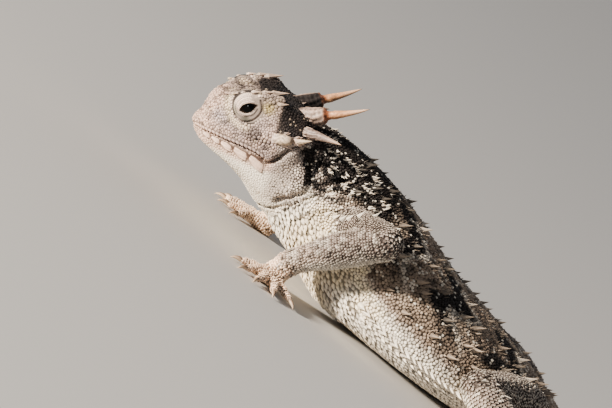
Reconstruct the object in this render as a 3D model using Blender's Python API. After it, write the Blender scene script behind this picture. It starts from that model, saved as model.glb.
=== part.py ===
"""Desert horned lizard, life size, resting on its belly with its chest propped on its forelegs.

Row frame: metres, +Z up, the snout towards -X, the animal's left side towards -Y. The origin lies
on the floor under the middle of the animal. Sizes below are in millimetres, with X measured back
from the tip of the snout, and are turned into metres where a shape is built.
"""

import math
import random

import bmesh
import bpy
from mathutils import Matrix, Vector

MM = 0.001
GAP = 0.3  # between neighbouring pieces
SEED = 11
SPINE_CLEARANCE = 2.2  # between the surface of a limb and the root of a spine on the trunk

# Head, measured back from the front of the mouth and up from the line of the mouth.
MOUTH_FRONT = Vector((0.8, -1.4, 9.7))
HEAD_PITCH = math.radians(18.0)  # snout down
HEAD_TURN = math.radians(5.6)  # towards the animal's left
NAPE = Vector((14.4, 0.0, 15.2))  # middle of the joint between head and neck
NAPE_PITCH = math.radians(9.0)
HEAD_REAR = 21.0
SNOUT_STATIONS = (0.12, 0.45, 0.95)  # sections set close together up the blunt face
ROOF = (
    (-0.5, 1.9), (0, 2.8), (0.35, 4.3), (0.9, 6.1), (2.5, 7.5), (4.5, 8.3), (8, 9.0), (11, 9.1),
    (14, 8.6), (17.5, 7.8), (21, 6.6),
)
BROW_OUT = (
    (-0.5, 0.6), (0, 1.7), (0.7, 2.9), (2.5, 4.4), (4.5, 5.7), (8, 7.0), (11, 7.3), (14, 6.9),
    (17.5, 6.8), (21, 6.8),
)
BROW_UP = (
    (-0.5, 1.8), (0, 2.7), (0.35, 4.0), (0.9, 5.7), (2.5, 7.3), (4.5, 8.7), (8, 10.0),
    (10.3, 10.4), (12, 9.1), (14, 8.5), (17.5, 7.6), (21, 6.4),
)
CHEEK_OUT = (
    (-0.5, 0.8), (0, 2.1), (0.7, 3.4), (2.5, 5.0), (4.5, 6.3), (8, 7.9), (11, 9.0), (14, 9.7),
    (17.5, 9.6), (21, 9.2),
)
CHEEK_UP = ((-0.5, 1.0), (0.7, 2.2), (2.5, 2.8), (8, 3.4), (14, 4.2), (21, 4.2))
LIP_OUT = (
    (-0.5, 0.7), (0, 1.9), (0.7, 3.2), (2.5, 4.9), (4.5, 6.1), (8, 7.7), (11, 8.6), (14, 9.0),
    (21, 9.0),
)
JAW_OUT = (
    (-0.5, 0.4), (0, 1.3), (0.7, 2.5), (2.5, 4.2), (4.5, 5.3), (8, 6.7), (11, 7.7), (14, 8.2),
    (21, 8.4),
)
JAW_UP = ((-0.5, 0.2), (0.7, -0.9), (2.5, -1.5), (4.5, -2.0), (8, -3.0), (11, -4.2), (15, -6.0))
CHIN_UP = (
    (-0.5, 0.2), (0.7, -1.0), (2.5, -1.8), (4.5, -2.5), (7, -3.8), (9, -4.9), (10.8, -6.5),
    (14, -8.8), (21, -10.0),
)
MOUTH_CORNER = 11.1
JAW_REAR_SLANT = 3.0  # how far the rear of the jaw leans forward at JAW_DEPTH
JAW_DEPTH = 9.0

EYE_BACK, EYE_OUT, EYE_UP = 5.75, 4.4, 6.95
EYE_RADIUS = 2.0
LID_RADIUS = 2.7
LID_SLIT = (1.35, 0.85)  # half length and half height of the opening between the lids
NOSTRIL_BACK, NOSTRIL_OUT, NOSTRIL_UP = 1.0, 3.0, 4.2
NOSTRIL_RADIUS = 0.5
BROW_SPINES = ((5.4, 0.6), (7.2, 0.85), (9.3, 1.15))  # place back along the ridge, and size
CHIN_SHIELDS = ((3.6, 0.72), (5.5, 0.82), (7.6, 0.95), (10.0, 1.1))

# Crown of horns, as (root back, out, up), (tip back, out, up), root radius, upward bow, blunt end.
OCCIPITAL_HORN = ((14.2, 3.9, 7.8), (23.4, 6.5, 12.8), 1.5, -0.35, 0.0)
TEMPORAL_HORNS = (
    ((11.0, 7.9, 4.1), (13.4, 9.8, 5.0), 0.9, -0.1, 0.45),
    ((13.6, 8.4, 4.6), (16.1, 10.9, 6.2), 0.54, -0.1, 0.0),
    ((15.1, 7.1, 6.3), (20.5, 11.2, 7.1), 0.8, 0.1, 0.0),
)

# Trunk and tail: heights above the floor and half width along X.
NECK_START, TORSO_START, TAIL_START, TAIL_MIDDLE, TAIL_END = 14.4, 21.0, 75.5, 91.0, 112.0
BACK_LINE = (
    (14.4, 21.8), (18, 22.4), (23, 22.2), (29, 21.2), (33, 20.3), (38, 18.7), (42, 17.2),
    (48, 15.4), (56, 13.8), (63, 12.2), (69, 10.4), (75.5, 8.2), (84, 6.3), (94, 4.6),
    (104, 3.0), (112, 1.5),
)
FLANK_LEVEL = (
    (14.4, 14.6), (20, 13.0), (26, 10.8), (33, 8.4), (40, 6.6), (48, 5.5), (60, 4.9),
    (70, 4.3), (77, 3.6), (90, 2.6), (102, 1.6), (112, 0.7),
)
PRESSED = -0.12  # the belly's own level, cut off at the floor so that it rests flat
BELLY_LINE = (
    (14.4, 6.9), (18, 5.7), (22, 4.3), (26, 2.8), (30, 1.1), (33.5, PRESSED), (37, PRESSED),
    (112, PRESSED),
)
HALF_WIDTH = (
    (14.4, 9.0), (18, 9.2), (22, 10.2), (27, 12.1), (33, 14.7), (40, 17.3), (47, 18.4),
    (54, 17.6), (61, 14.6), (67, 11.0), (72, 8.4), (77, 6.6), (85, 4.9), (95, 3.3),
    (104, 2.0), (112, 0.8),
)
PITCH = ((14.4, 9), (26, 8), (40, 5), (60, 3), (112, 3))
SWAY = ((14.4, 0), (70, 0), (80, 0.5), (92, 3.4), (103, 8.0), (112, 13.0))
TURN = ((14.4, 5), (24, 0), (70, 0), (80, 8), (92, 19), (103, 27), (112, 32))
BACK_SQUARE, BELLY_SQUARE = 2.15, 2.6
FOLDS = ((17.2, 0.4, 0.75), (21.0, 0.7, 0.9), (24.6, 0.5, 0.9))  # place, depth, half width

# Spines of the trunk, as rows of (degrees from the ridge of the back, first x, last x, spacing),
# with their length and radius. The fringe is the one row of pointed scales along the flank.
NAPE_ROWS, NAPE_SPINE = ((22, 18.4, 19.6, 2), (48, 17.6, 19.6, 2)), (1.3, 0.75)
BACK_ROWS = ((12, 24, 73, 5.2), (31, 23, 71, 5.0), (51, 25, 66, 5.0), (71, 38, 60, 5.0))
BACK_SPINE = (1.8, 0.88)
TAIL_BASE_ROWS, TAIL_BASE_SPINE = ((24, 78, 89, 3.8), (60, 79, 89, 4.0)), (1.35, 0.75)
TAIL_TIP_ROWS, TAIL_TIP_SPINE = ((24, 93.5, 107, 3.4),), (1.05, 0.62)
FLANK_FRINGE = (38.5, 50.5, 2.1, 2.1, 0.8)  # first x, last x, spacing, length and radius
TAIL_BASE_FRINGE = (77.8, 89, 2.5, 1.5, 0.75)
TAIL_TIP_FRINGE = (93.5, 108, 2.6, 1.15, 0.62)
FRINGE_ANGLE = 97
SPINE_LEAN = 0.9

# Limbs, as (x, out, z) joints with the radii at the root, the middle joint and the end.
# The left and right forelegs are planted apart. The heading turns a paw outwards, in degrees.
LEFT_ARM = {
    "root": (26.8, 6.5, 12.4), "bend": (34.0, 20.2, 16.6), "end": (23.1, 15.2, 3.9),
    "radii": (3.4, 3.1, 2.2), "heading": 74.0,
}
RIGHT_ARM = {
    "root": (26.8, 6.5, 12.4), "bend": (33.0, 20.3, 15.4), "end": (21.4, 15.4, 3.9),
    "radii": (3.4, 3.1, 2.2), "heading": 12.0,
}
LEG = {
    "root": (68.0, 5.0, 6.4), "bend": (55.4, 25.0, 7.8), "end": (70.0, 27.6, 3.1),
    "radii": (4.4, 3.3, 1.9), "heading": 74.0,
}
LIMB_SIDES = 12
ELBOW_OVERLAP = 0.95  # how far the lower part starts inside the upper one, in its own radii
LIMB_SPINE, LIMB_SPINE_TURNS = (1.0, 0.6), (60, 120)  # length and radius, places in degrees

HAND = {"palm": 3.8, "half_width": 2.5, "digits": (2.6, 3.7, 4.3, 4.1, 2.9)}
FOOT = {"palm": 4.6, "half_width": 2.6, "digits": (2.7, 3.9, 5.2, 6.4, 3.9)}
# Sections of a palm, as shares of its length and of its half width, and half its thickness.
PALM_SECTIONS = (
    (-0.42, 0.4, 0.7), (-0.25, 0.72, 1.15), (0.1, 0.86, 1.4), (0.5, 1.0, 1.25),
    (0.85, 0.98, 1.0), (1.06, 0.7, 0.75),
)
PALM_LEVEL = 0.92  # height of its middle, in half thicknesses, so that the sole is cut flat
DIGIT_SPREAD = (-58, -27, -3, 22, 60)  # degrees, from the inner digit to the outer
DIGIT_RADIUS = 0.66
DIGIT_ROOT_BACK, DIGIT_ROOT_STEP = 0.35, 0.3  # in palm lengths, and in half widths between roots
DIGIT_ROOT_LEVEL, DIGIT_SUNK = 1.0, 1.3  # height of a root, and the length hidden in the palm
CLAW_LENGTH, CLAW_RADIUS, CLAW_SUNK = 1.5, 0.42, 0.5
CLAW_TIP_LEVEL = 0.14

SKIN_COLOUR = (0.55, 0.49, 0.43, 1.0)
BELLY_COLOUR = (0.74, 0.69, 0.60, 1.0)
HORN_COLOUR = (0.62, 0.45, 0.33, 1.0)
EYE_COLOUR = (0.012, 0.010, 0.009, 1.0)


def clear_scene():
    for obj in list(bpy.data.objects):
        bpy.data.objects.remove(obj)


def collection(name):
    made = bpy.data.collections.new(name)
    bpy.context.scene.collection.children.link(made)
    return made


def material(name, colour, roughness):
    made = bpy.data.materials.new(name)
    made.use_nodes = True
    shader = made.node_tree.nodes["Principled BSDF"]
    shader.inputs["Base Color"].default_value = colour
    shader.inputs["Roughness"].default_value = roughness
    shader.inputs["Metallic"].default_value = 0.0
    return made


def along(knots, t):
    """The value at t of the smooth curve through the (t, value) knots."""
    if t <= knots[0][0]:
        return knots[0][1]
    if t >= knots[-1][0]:
        return knots[-1][1]
    i = next(n for n in range(len(knots) - 1) if t <= knots[n + 1][0])
    (t0, v0), (t1, v1) = knots[i], knots[i + 1]
    step = t1 - t0
    chord = (v1 - v0) / step
    before = (v0 - knots[i - 1][1]) / (t0 - knots[i - 1][0]) if i > 0 else chord
    after = (knots[i + 2][1] - v1) / (knots[i + 2][0] - t1) if i + 2 < len(knots) else chord
    m0, m1 = (before + chord) / 2 * step, (chord + after) / 2 * step
    u = (t - t0) / step
    return (
        (2 * u**3 - 3 * u**2 + 1) * v0
        + (u**3 - 2 * u**2 + u) * m0
        + (3 * u**2 - 2 * u**3) * v1
        + (u**3 - u**2) * m1
    )


def spread(first, last, most_step):
    """Evenly spaced values from first to last, no further apart than most_step."""
    count = max(1, math.ceil(abs(last - first) / most_step - 1e-9))
    return [first + (last - first) * n / count for n in range(count + 1)]


def loft_mesh(rings, tip=None):
    """A closed body through rings of points in millimetres; tip is a last single point."""
    shape = bmesh.new()
    rows = [[shape.verts.new(p * MM) for p in ring] for ring in rings]
    sides = len(rows[0])
    for low, high in zip(rows, rows[1:]):
        for n in range(sides):
            m = (n + 1) % sides
            shape.faces.new((low[n], low[m], high[m], high[n]))
    shape.faces.new(reversed(rows[0]))
    if tip is None:
        shape.faces.new(rows[-1])
    else:
        point = shape.verts.new(tip * MM)
        for n in range(sides):
            shape.faces.new((rows[-1][n], rows[-1][(n + 1) % sides], point))
    bmesh.ops.recalc_face_normals(shape, faces=shape.faces)
    bmesh.ops.triangulate(shape, faces=[f for f in shape.faces if len(f.verts) > 4])
    if shape.calc_volume(signed=True) < 0:
        bmesh.ops.reverse_faces(shape, faces=shape.faces)
    mesh = bpy.data.meshes.new("loft")
    shape.to_mesh(mesh)
    shape.free()
    return mesh


def add_object(name, mesh, group):
    made = bpy.data.objects.new(name, mesh)
    group.objects.link(made)
    return made


def evaluated_mesh(obj):
    """The object's mesh with its modifiers applied, in the row frame."""
    bpy.context.view_layer.update()
    graph = bpy.context.evaluated_depsgraph_get()
    mesh = bpy.data.meshes.new_from_object(obj.evaluated_get(graph))
    mesh.transform(obj.matrix_world)
    return mesh


def cut_flat(mesh, point, normal):
    """Removes what lies beyond the plane, on the side its normal points to, and closes the cut."""
    shape = bmesh.new()
    shape.from_mesh(mesh)
    cut = bmesh.ops.bisect_plane(
        shape,
        geom=shape.verts[:] + shape.edges[:] + shape.faces[:],
        dist=1e-7,
        plane_co=point * MM,
        plane_no=normal,
        clear_outer=True,
    )
    edges = [e for e in cut["geom_cut"] if isinstance(e, bmesh.types.BMEdge)]
    if edges:
        filled = bmesh.ops.holes_fill(shape, edges=edges, sides=0)
        bmesh.ops.triangulate(shape, faces=filled["faces"])
    bmesh.ops.recalc_face_normals(shape, faces=shape.faces)
    if shape.calc_volume(signed=True) < 0:
        bmesh.ops.reverse_faces(shape, faces=shape.faces)
    shape.to_mesh(mesh)
    shape.free()
    return mesh


def set_on_floor(mesh):
    return cut_flat(mesh, Vector((0, 0, 0)), Vector((0, 0, -1)))


def largest_body(mesh):
    """Keeps only the largest closed surface, so that a loose scrap or a sealed hollow goes."""
    shape = bmesh.new()
    shape.from_mesh(mesh)
    left, bodies = set(shape.faces), []
    while left:
        body, edge_faces = set(), [left.pop()]
        while edge_faces:
            face = edge_faces.pop()
            body.add(face)
            for edge in face.edges:
                for other in edge.link_faces:
                    if other in left:
                        left.discard(other)
                        edge_faces.append(other)
        bodies.append(body)
    bodies.sort(key=len, reverse=True)
    for scrap in bodies[1:]:
        bmesh.ops.delete(shape, geom=list(scrap), context="FACES")
    loose = [v for v in shape.verts if not v.link_faces]
    bmesh.ops.delete(shape, geom=loose, context="VERTS")
    shape.to_mesh(mesh)
    shape.free()
    return mesh


def combine(mesh, pieces, operation="UNION"):
    """One Boolean of mesh with all of the pieces, applied."""
    if not pieces:
        return mesh
    group = collection("joining")
    members = [add_object("joined", piece, group) for piece in pieces]
    base = add_object("base", mesh, bpy.context.scene.collection)
    boolean = base.modifiers.new("join", "BOOLEAN")
    boolean.operation = operation
    boolean.operand_type = "COLLECTION"
    boolean.collection = group
    boolean.solver = "EXACT"
    result = evaluated_mesh(base)
    for member in members:
        bpy.data.objects.remove(member)
    bpy.data.objects.remove(base)
    bpy.data.collections.remove(group)
    return largest_body(result)


def finish(name, mesh, origin, surface, group, parent):
    """Makes a named node of a mesh in the row frame, with its origin at a joint in millimetres."""
    mesh.name = name
    mesh.transform(Matrix.Translation(-origin * MM))
    mesh.materials.clear()
    mesh.materials.append(surface)
    mesh.shade_smooth()
    mesh.set_sharp_from_angle(angle=math.radians(38))
    made = add_object(name, mesh, group)
    made.location = origin * MM
    made.parent = parent
    return made


# Small forms that grow from a surface: spines, raised plates and horns.
HORNLIKE = ((0, 1.0), (0.42, 0.72))  # distance and radius shares of the stouter spines


def cone_rings(root, tip, radius, sides, shares, bow=0.0, flat=1.0):
    """Rings along a bowed cone. shares are (distance share, radius share) pairs."""
    axis = tip - root
    side = axis.cross(Vector((0, 0, 1)))
    side = side.normalized() if side.length > 1e-6 else Vector((0, 1, 0))
    up = side.cross(axis).normalized()
    rings = []
    for distance, width in shares:
        middle = root + axis * distance + up * (bow * 4 * distance * (1 - distance))
        rings.append([
            middle
            + side * (radius * width * math.cos(2 * math.pi * n / sides))
            + up * (radius * width * flat * math.sin(2 * math.pi * n / sides))
            for n in range(sides)
        ])
    return rings


def spine_mesh(at, normal, lean, length, radius, shares=((0, 1.0),), sides=4):
    """A pointed scale on a surface, leaning along lean, with its root sunk in."""
    way = (normal + lean).normalized()
    root = at - normal * (0.45 * radius + 0.25)
    tip = at + way * length
    return loft_mesh(cone_rings(root, tip, radius, sides, shares), tip)


def plate_mesh(at, normal, way, length, width, height, sides=8):
    """A raised scale plate, lying along way on the surface."""
    way = (way - normal * way.dot(normal)).normalized()
    across = normal.cross(way)
    rings = []
    for lift, size in ((-0.5, 0.86), (0.35 * height, 1.0), (height, 0.62)):
        rings.append([
            at
            + normal * lift
            + way * (length / 2 * size * math.cos(2 * math.pi * n / sides))
            + across * (width / 2 * size * math.sin(2 * math.pi * n / sides))
            for n in range(sides)
        ])
    return loft_mesh(rings)


# Trunk: one tube from the nape to the tip of the tail, parted across.
def trunk_frame(x):
    """Middle of the section at x, with its unit vectors backward, left-to-right and up."""
    pitch, turn = math.radians(along(PITCH, x)), math.radians(along(TURN, x))
    back = Vector((
        math.cos(turn) * math.cos(pitch),
        math.sin(turn) * math.cos(pitch),
        -math.sin(pitch),
    ))
    across = Vector((-math.sin(turn), math.cos(turn), 0))
    up = back.cross(across)
    return Vector((x, along(SWAY, x), along(FLANK_LEVEL, x))), back, across, up


def fold_depth(x, angle):
    """Depth of the folds of loose skin across the throat and the sides of the neck."""
    low_side = min(1.0, max(0.0, (abs(math.degrees(angle)) - 40) / 30))
    depth = sum(deep * math.exp(-(((x - place) / half) ** 2)) for place, deep, half in FOLDS)
    return depth * low_side


def trunk_point(x, angle, grow=0.0):
    """A point of the trunk's surface; angle is from the ridge of the back, positive to +Y."""
    angle = math.remainder(angle, 2 * math.pi)
    middle, _, across, up = trunk_frame(x)
    inset = grow - fold_depth(x, angle)
    out = along(HALF_WIDTH, x) + inset
    over = math.cos(angle) >= 0
    reach = along(BACK_LINE, x) - middle.z if over else middle.z - along(BELLY_LINE, x)
    power = 2 / (BACK_SQUARE if over else BELLY_SQUARE)
    s, c = math.sin(angle), math.cos(angle)
    return (
        middle
        + across * (out * math.copysign(abs(s) ** power, s))
        + up * ((reach + inset) * math.copysign(abs(c) ** power, c))
    )


def trunk_normal(x, angle):
    d = 0.05
    down_the_back = trunk_point(x + d, angle) - trunk_point(x - d, angle)
    around = trunk_point(x, angle + d) - trunk_point(x, angle - d)
    normal = down_the_back.cross(around).normalized()
    return normal if normal.dot(trunk_point(x, angle) - trunk_frame(x)[0]) > 0 else -normal


def trunk_mesh(stations, sides, grow=0.0, trim_start=0.0, trim_end=0.0):
    rings = []
    for x in stations:
        shift = trim_start if x == stations[0] else -trim_end if x == stations[-1] else 0.0
        back = trunk_frame(x)[1]
        rings.append([
            trunk_point(x, 2 * math.pi * n / sides, grow) + back * shift for n in range(sides)
        ])
    return loft_mesh(rings)


def clear_of_limbs(at, side):
    """Whether a spine rooted at this point of the trunk stays away from the limbs."""
    arm = LEFT_ARM if side < 0 else RIGHT_ARM
    for plan in (arm, LEG):
        root, bend = limb_joint(plan, "root", side), limb_joint(plan, "bend", side)
        axis = bend - root
        share = min(1.0, max(0.0, (at - root).dot(axis) / axis.length_squared))
        if (at - root - axis * share).length < plan["radii"][0] + SPINE_CLEARANCE:
            return False
    return True


def trunk_spines(draw, rows, spine):
    """Spines of one length and radius in rows along both sides of the back."""
    length, radius = spine
    made = []
    for angle, first, last, spacing in rows:
        for side in (-1, 1):
            for x in spread(first, last, spacing):
                place = x + draw.uniform(-0.3, 0.3) * spacing
                turn = math.radians(side * (angle + draw.uniform(-3, 3)))
                size = draw.uniform(0.8, 1.15)
                if not clear_of_limbs(trunk_point(place, turn), side):
                    continue
                made.append(spine_mesh(
                    trunk_point(place, turn),
                    trunk_normal(place, turn),
                    trunk_frame(place)[1] * SPINE_LEAN,
                    length * size,
                    radius * size,
                ))
    return made


def fringe_spines(draw, fringe):
    """The single row of pointed scales along the edge of the flank, on both sides."""
    first, last, spacing, length, radius = fringe
    made = []
    for side in (-1, 1):
        for x in spread(first, last, spacing):
            turn = math.radians(side * FRINGE_ANGLE)
            outward = trunk_frame(x)[2] * side
            made.append(spine_mesh(
                trunk_point(x, turn),
                outward,
                trunk_frame(x)[1] * 0.55 + Vector((0, 0, 0.12)),
                length * draw.uniform(0.85, 1.1),
                radius,
                HORNLIKE,
            ))
    return made


def build_trunk(draw, skin, group, parent):
    half = GAP / 2
    neck = trunk_mesh(spread(NECK_START, TORSO_START, 0.85), 30, 0.0, half, half)
    neck = combine(neck, trunk_spines(draw, NAPE_ROWS, NAPE_SPINE))
    finish("neck", neck, NAPE, skin, group, parent)

    stations = spread(TORSO_START, 27.0, 1.0) + spread(27.0, TAIL_START, 3.0)[1:]
    torso = trunk_mesh(stations, 30, 0.0, half, half)
    growths = trunk_spines(draw, BACK_ROWS, BACK_SPINE) + fringe_spines(draw, FLANK_FRINGE)
    torso = set_on_floor(combine(torso, growths))
    finish("torso", torso, trunk_frame(TORSO_START)[0], skin, group, parent)

    base = trunk_mesh(spread(TAIL_START, TAIL_MIDDLE, 2.6), 20, 0.0, half, half)
    growths = trunk_spines(draw, TAIL_BASE_ROWS, TAIL_BASE_SPINE)
    growths += fringe_spines(draw, TAIL_BASE_FRINGE)
    base = set_on_floor(combine(base, growths))
    finish("tail_base", base, trunk_frame(TAIL_START)[0], skin, group, parent)

    tip = trunk_mesh(spread(TAIL_MIDDLE, TAIL_END, 2.7), 16, 0.0, half, 0.0)
    growths = trunk_spines(draw, TAIL_TIP_ROWS, TAIL_TIP_SPINE)
    growths += fringe_spines(draw, TAIL_TIP_FRINGE)
    tip = set_on_floor(combine(tip, growths))
    finish("tail_tip", tip, trunk_frame(TAIL_MIDDLE)[0], skin, group, parent)


# Head: built with its mouth level, cut from the neck and along the mouth, and bowed and turned.
def head_place():
    turned = Matrix.Rotation(HEAD_TURN, 4, "Z") @ Matrix.Rotation(-HEAD_PITCH, 4, "Y")
    return Matrix.Translation(MOUTH_FRONT * MM) @ turned


def head_section(back):
    """Half a section of the head, as (out, up), from the middle of the roof to the chin."""
    roof, brow_out, brow_up = along(ROOF, back), along(BROW_OUT, back), along(BROW_UP, back)
    cheek_out, cheek_up = along(CHEEK_OUT, back), along(CHEEK_UP, back)
    jaw_out, jaw_up, chin = along(JAW_OUT, back), along(JAW_UP, back), along(CHIN_UP, back)
    return [
        (0.0, roof),
        (brow_out * 0.5, roof * 0.6 + brow_up * 0.4),
        (brow_out, brow_up),
        (brow_out * 0.45 + cheek_out * 0.5, brow_up * 0.62 + cheek_up * 0.38),
        (cheek_out, cheek_up),
        (along(LIP_OUT, back), 0.2),
        (jaw_out, jaw_up),
        (jaw_out * 0.55, chin * 0.85 + jaw_up * 0.15),
        (0.0, chin),
    ]


def rounded(points, steps):
    """Points on the smooth closed line through the given ones."""
    count = len(points)
    made = []
    for n in range(count):
        a, b, c, d = (Vector(points[(n + k) % count]) for k in (-1, 0, 1, 2))
        for step in range(steps):
            u = step / steps
            made.append(
                0.5 * (2 * b + (c - a) * u + (2 * a - 5 * b + 4 * c - d) * u**2
                       + (3 * b - a - 3 * c + d) * u**3)
            )
    return made


def head_ring(back, grow=0.0):
    half = head_section(back)
    whole = half + [(-out, up) for out, up in reversed(half[1:-1])]
    ring = [Vector((back, out, up)) for out, up in rounded(whole, 2)]
    core = Vector((back, 0, along(CHEEK_UP, back)))
    return [p + (p - core).normalized() * grow for p in ring]


def head_mesh(grow=0.0):
    stations = [-0.5 - grow, -0.25 - grow, *SNOUT_STATIONS] + spread(1.8, HEAD_REAR, 1.2)
    return loft_mesh([head_ring(back, grow) for back in stations])


def jaw_space(grow):
    """A wedge that holds the lower jaw, from the line of the mouth down."""
    front, low = -3.0, -JAW_DEPTH
    corners = ((front, grow), (MOUTH_CORNER + grow, grow),
               (MOUTH_CORNER - JAW_REAR_SLANT + grow, low), (front, low))
    return loft_mesh([[Vector((back, out, up)) for back, up in corners] for out in (-14, 14)])


def part_from_neck(mesh):
    """Puts the head's mesh in its place and cuts it at the joint with the neck."""
    mesh.transform(head_place())
    turn = math.radians(along(TURN, NECK_START))
    backward = Vector((
        math.cos(turn) * math.cos(NAPE_PITCH),
        math.sin(turn) * math.cos(NAPE_PITCH),
        -math.sin(NAPE_PITCH),
    ))
    return cut_flat(mesh, NAPE - backward * (GAP / 2), backward)


def ball_mesh(middle, radii, segments, rings):
    shape = bmesh.new()
    bmesh.ops.create_uvsphere(shape, u_segments=segments, v_segments=rings, radius=1.0)
    mesh = bpy.data.meshes.new("ball")
    shape.to_mesh(mesh)
    shape.free()
    size = Matrix.Diagonal((*(Vector(radii) * MM), 1.0))
    mesh.transform(Matrix.Translation(middle * MM) @ size)
    return mesh


def head_surface(back, side, share):
    """A point and normal on the side of the head; share runs from roof 0 to chin 1."""
    def at(b, s):
        half = head_section(b)
        place = s * (len(half) - 1)
        i = min(int(place), len(half) - 2)
        u = place - i
        out = half[i][0] * (1 - u) + half[i + 1][0] * u
        up = half[i][1] * (1 - u) + half[i + 1][1] * u
        return Vector((b, out * side, up))

    middle = at(back, share)
    along_head = at(back + 0.2, share) - at(back - 0.2, share)
    around = at(back, share + 0.02) - at(back, share - 0.02)
    normal = along_head.cross(around).normalized()
    outward = middle - Vector((back, 0, 2.0))
    return middle, normal if normal.dot(outward) > 0 else -normal


def build_head(skin, pale, eye_surface, group, parent):
    lids, hollows, slits, nostrils, growths = [], [], [], [], []
    for side in (-1, 1):
        middle = Vector((EYE_BACK, side * EYE_OUT, EYE_UP))
        lids.append(ball_mesh(middle, (LID_RADIUS,) * 3, 18, 12))
        hollows.append(ball_mesh(middle, (EYE_RADIUS + GAP,) * 3, 12, 8))
        outward = Vector((0, side * LID_RADIUS, 0))
        slits.append(ball_mesh(middle + outward, (LID_SLIT[0], 1.6, LID_SLIT[1]), 12, 8))
        nostril = Vector((NOSTRIL_BACK, side * NOSTRIL_OUT, NOSTRIL_UP))
        nostrils.append(ball_mesh(nostril, (NOSTRIL_RADIUS,) * 3, 8, 6))
        for back, size in BROW_SPINES:
            at, normal = head_surface(back, side, 0.25)
            lean = Vector((1.9, 0.45 * side, 0.0))
            growths.append(spine_mesh(at, normal, lean, 1.7 * size, 0.85 * size, HORNLIKE, 5))
    at, normal = head_surface(14.2, 1, 0.0)
    growths.append(spine_mesh(at, normal, Vector((0.5, 0, 0)), 1.3, 0.9, HORNLIKE, 5))

    head = combine(combine(head_mesh(), lids + growths), [jaw_space(GAP / 2)], "DIFFERENCE")
    head = combine(head, slits + nostrils, "DIFFERENCE")
    head = combine(head, hollows, "DIFFERENCE")
    finish("head", part_from_neck(head), NAPE, skin, group, parent)

    plates = []
    for side in (-1, 1):
        for back, size in CHIN_SHIELDS:
            at, normal = head_surface(back, side, 0.71)
            way = Vector((1, 0.3 * side, -0.05))
            plates.append(plate_mesh(at, normal, way, 2.3 * size, 1.5 * size, 0.42))
    jaw = combine(head_mesh(), plates)
    jaw = combine(jaw, [jaw_space(-GAP / 2)], "INTERSECT")
    corner = head_place() @ (Vector((MOUTH_CORNER, 0, 0)) * MM) / MM
    finish("lower_jaw", part_from_neck(jaw), corner, pale, group, parent)

    for side, name in ((-1, "left"), (1, "right")):
        middle = Vector((EYE_BACK, side * EYE_OUT, EYE_UP))
        eye = ball_mesh(middle, (EYE_RADIUS,) * 3, 16, 10)
        eye.transform(head_place())
        at = head_place() @ (middle * MM) / MM
        finish(f"eye_{name}", eye, at, eye_surface, group, parent)


def build_horns(horn_surface, group, parent):
    shares = ((0, 0.9), (0.2, 1.0), (0.3, 0.84), (0.5, 0.64), (0.72, 0.4), (0.9, 0.17))
    kinds = [("occipital", OCCIPITAL_HORN)]
    kinds += [(f"temporal_{n + 1}", horn) for n, horn in enumerate(TEMPORAL_HORNS)]
    grown_neck = trunk_mesh(spread(NECK_START - 1, TORSO_START + 3, 0.75), 36, GAP)
    for kind, (root, tip, radius, bow, blunt) in kinds:
        for side, name in ((-1, "left"), (1, "right")):
            start = Vector((root[0], side * root[1], root[2]))
            end = Vector((tip[0], side * tip[1], tip[2]))
            widths = [(share, width + blunt * share) for share, width in shares]
            mesh = loft_mesh(cone_rings(start, end, radius, 9, widths, bow, 0.9), end)
            mesh = combine(mesh, [head_mesh(GAP)], "DIFFERENCE")
            mesh.transform(head_place())
            mesh = combine(mesh, [grown_neck.copy()], "DIFFERENCE")
            at = head_place() @ (start * MM) / MM
            finish(f"horn_{kind}_{name}", mesh, at, horn_surface, group, parent)


# Limbs: an upper part with a rounded elbow or knee, a lower part that starts in it, and a paw.
def limb_joint(plan, which, side):
    x, out, z = plan[which]
    return Vector((x, side * out, z))


def upper_limb(plan, side, grow=0.0):
    root, bend = limb_joint(plan, "root", side), limb_joint(plan, "bend", side)
    wide, narrow, _ = plan["radii"]
    bend += (bend - root).normalized() * grow
    thin = (narrow + grow) / (wide + grow)
    shares = (
        (0, 1.0), (0.2, 1.02), (0.4, 0.98), (0.6, 0.3 + 0.7 * thin), (0.78, thin * 1.02),
        (0.89, thin * 0.92), (0.96, thin * 0.62),
    )
    return loft_mesh(cone_rings(root, bend, wide + grow, LIMB_SIDES, shares, 0.5, 0.92), bend)


def lower_limb_rings(plan, side, grow=0.0):
    root, bend = limb_joint(plan, "root", side), limb_joint(plan, "bend", side)
    end = limb_joint(plan, "end", side)
    _, wide, narrow = plan["radii"]
    start = bend + (root - bend).normalized() * (wide * ELBOW_OVERLAP)
    end += (end - start).normalized() * (grow - GAP / 2)
    thin = (narrow + grow) / (wide + grow)
    shares = (
        (0, 0.9), (0.18, 0.98), (0.36, 1.0), (0.55, 0.94), (0.75, 0.45 + 0.45 * thin),
        (0.9, thin * 1.04), (1.0, thin),
    )
    return cone_rings(start, end, wide + grow, LIMB_SIDES, shares, 0.35, 0.92)


def limb_spines(rings, draw):
    """Pointed scales along the upper side of a limb part."""
    made = []
    middles = [sum(ring, Vector()) / len(ring) for ring in rings]
    for n in range(2, len(rings) - 1):
        way = (middles[n + 1] - middles[n - 1]).normalized()
        for turn in LIMB_SPINE_TURNS:
            share = ((turn + draw.uniform(-9, 9)) % 360) / 360 * LIMB_SIDES
            low = int(share) % LIMB_SIDES
            high = (low + 1) % LIMB_SIDES
            at = rings[n][low].lerp(rings[n][high], share - int(share))
            normal = (at - middles[n]).normalized()
            made.append(spine_mesh(at, normal, way * 0.8, *LIMB_SPINE))
    return made


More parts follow.
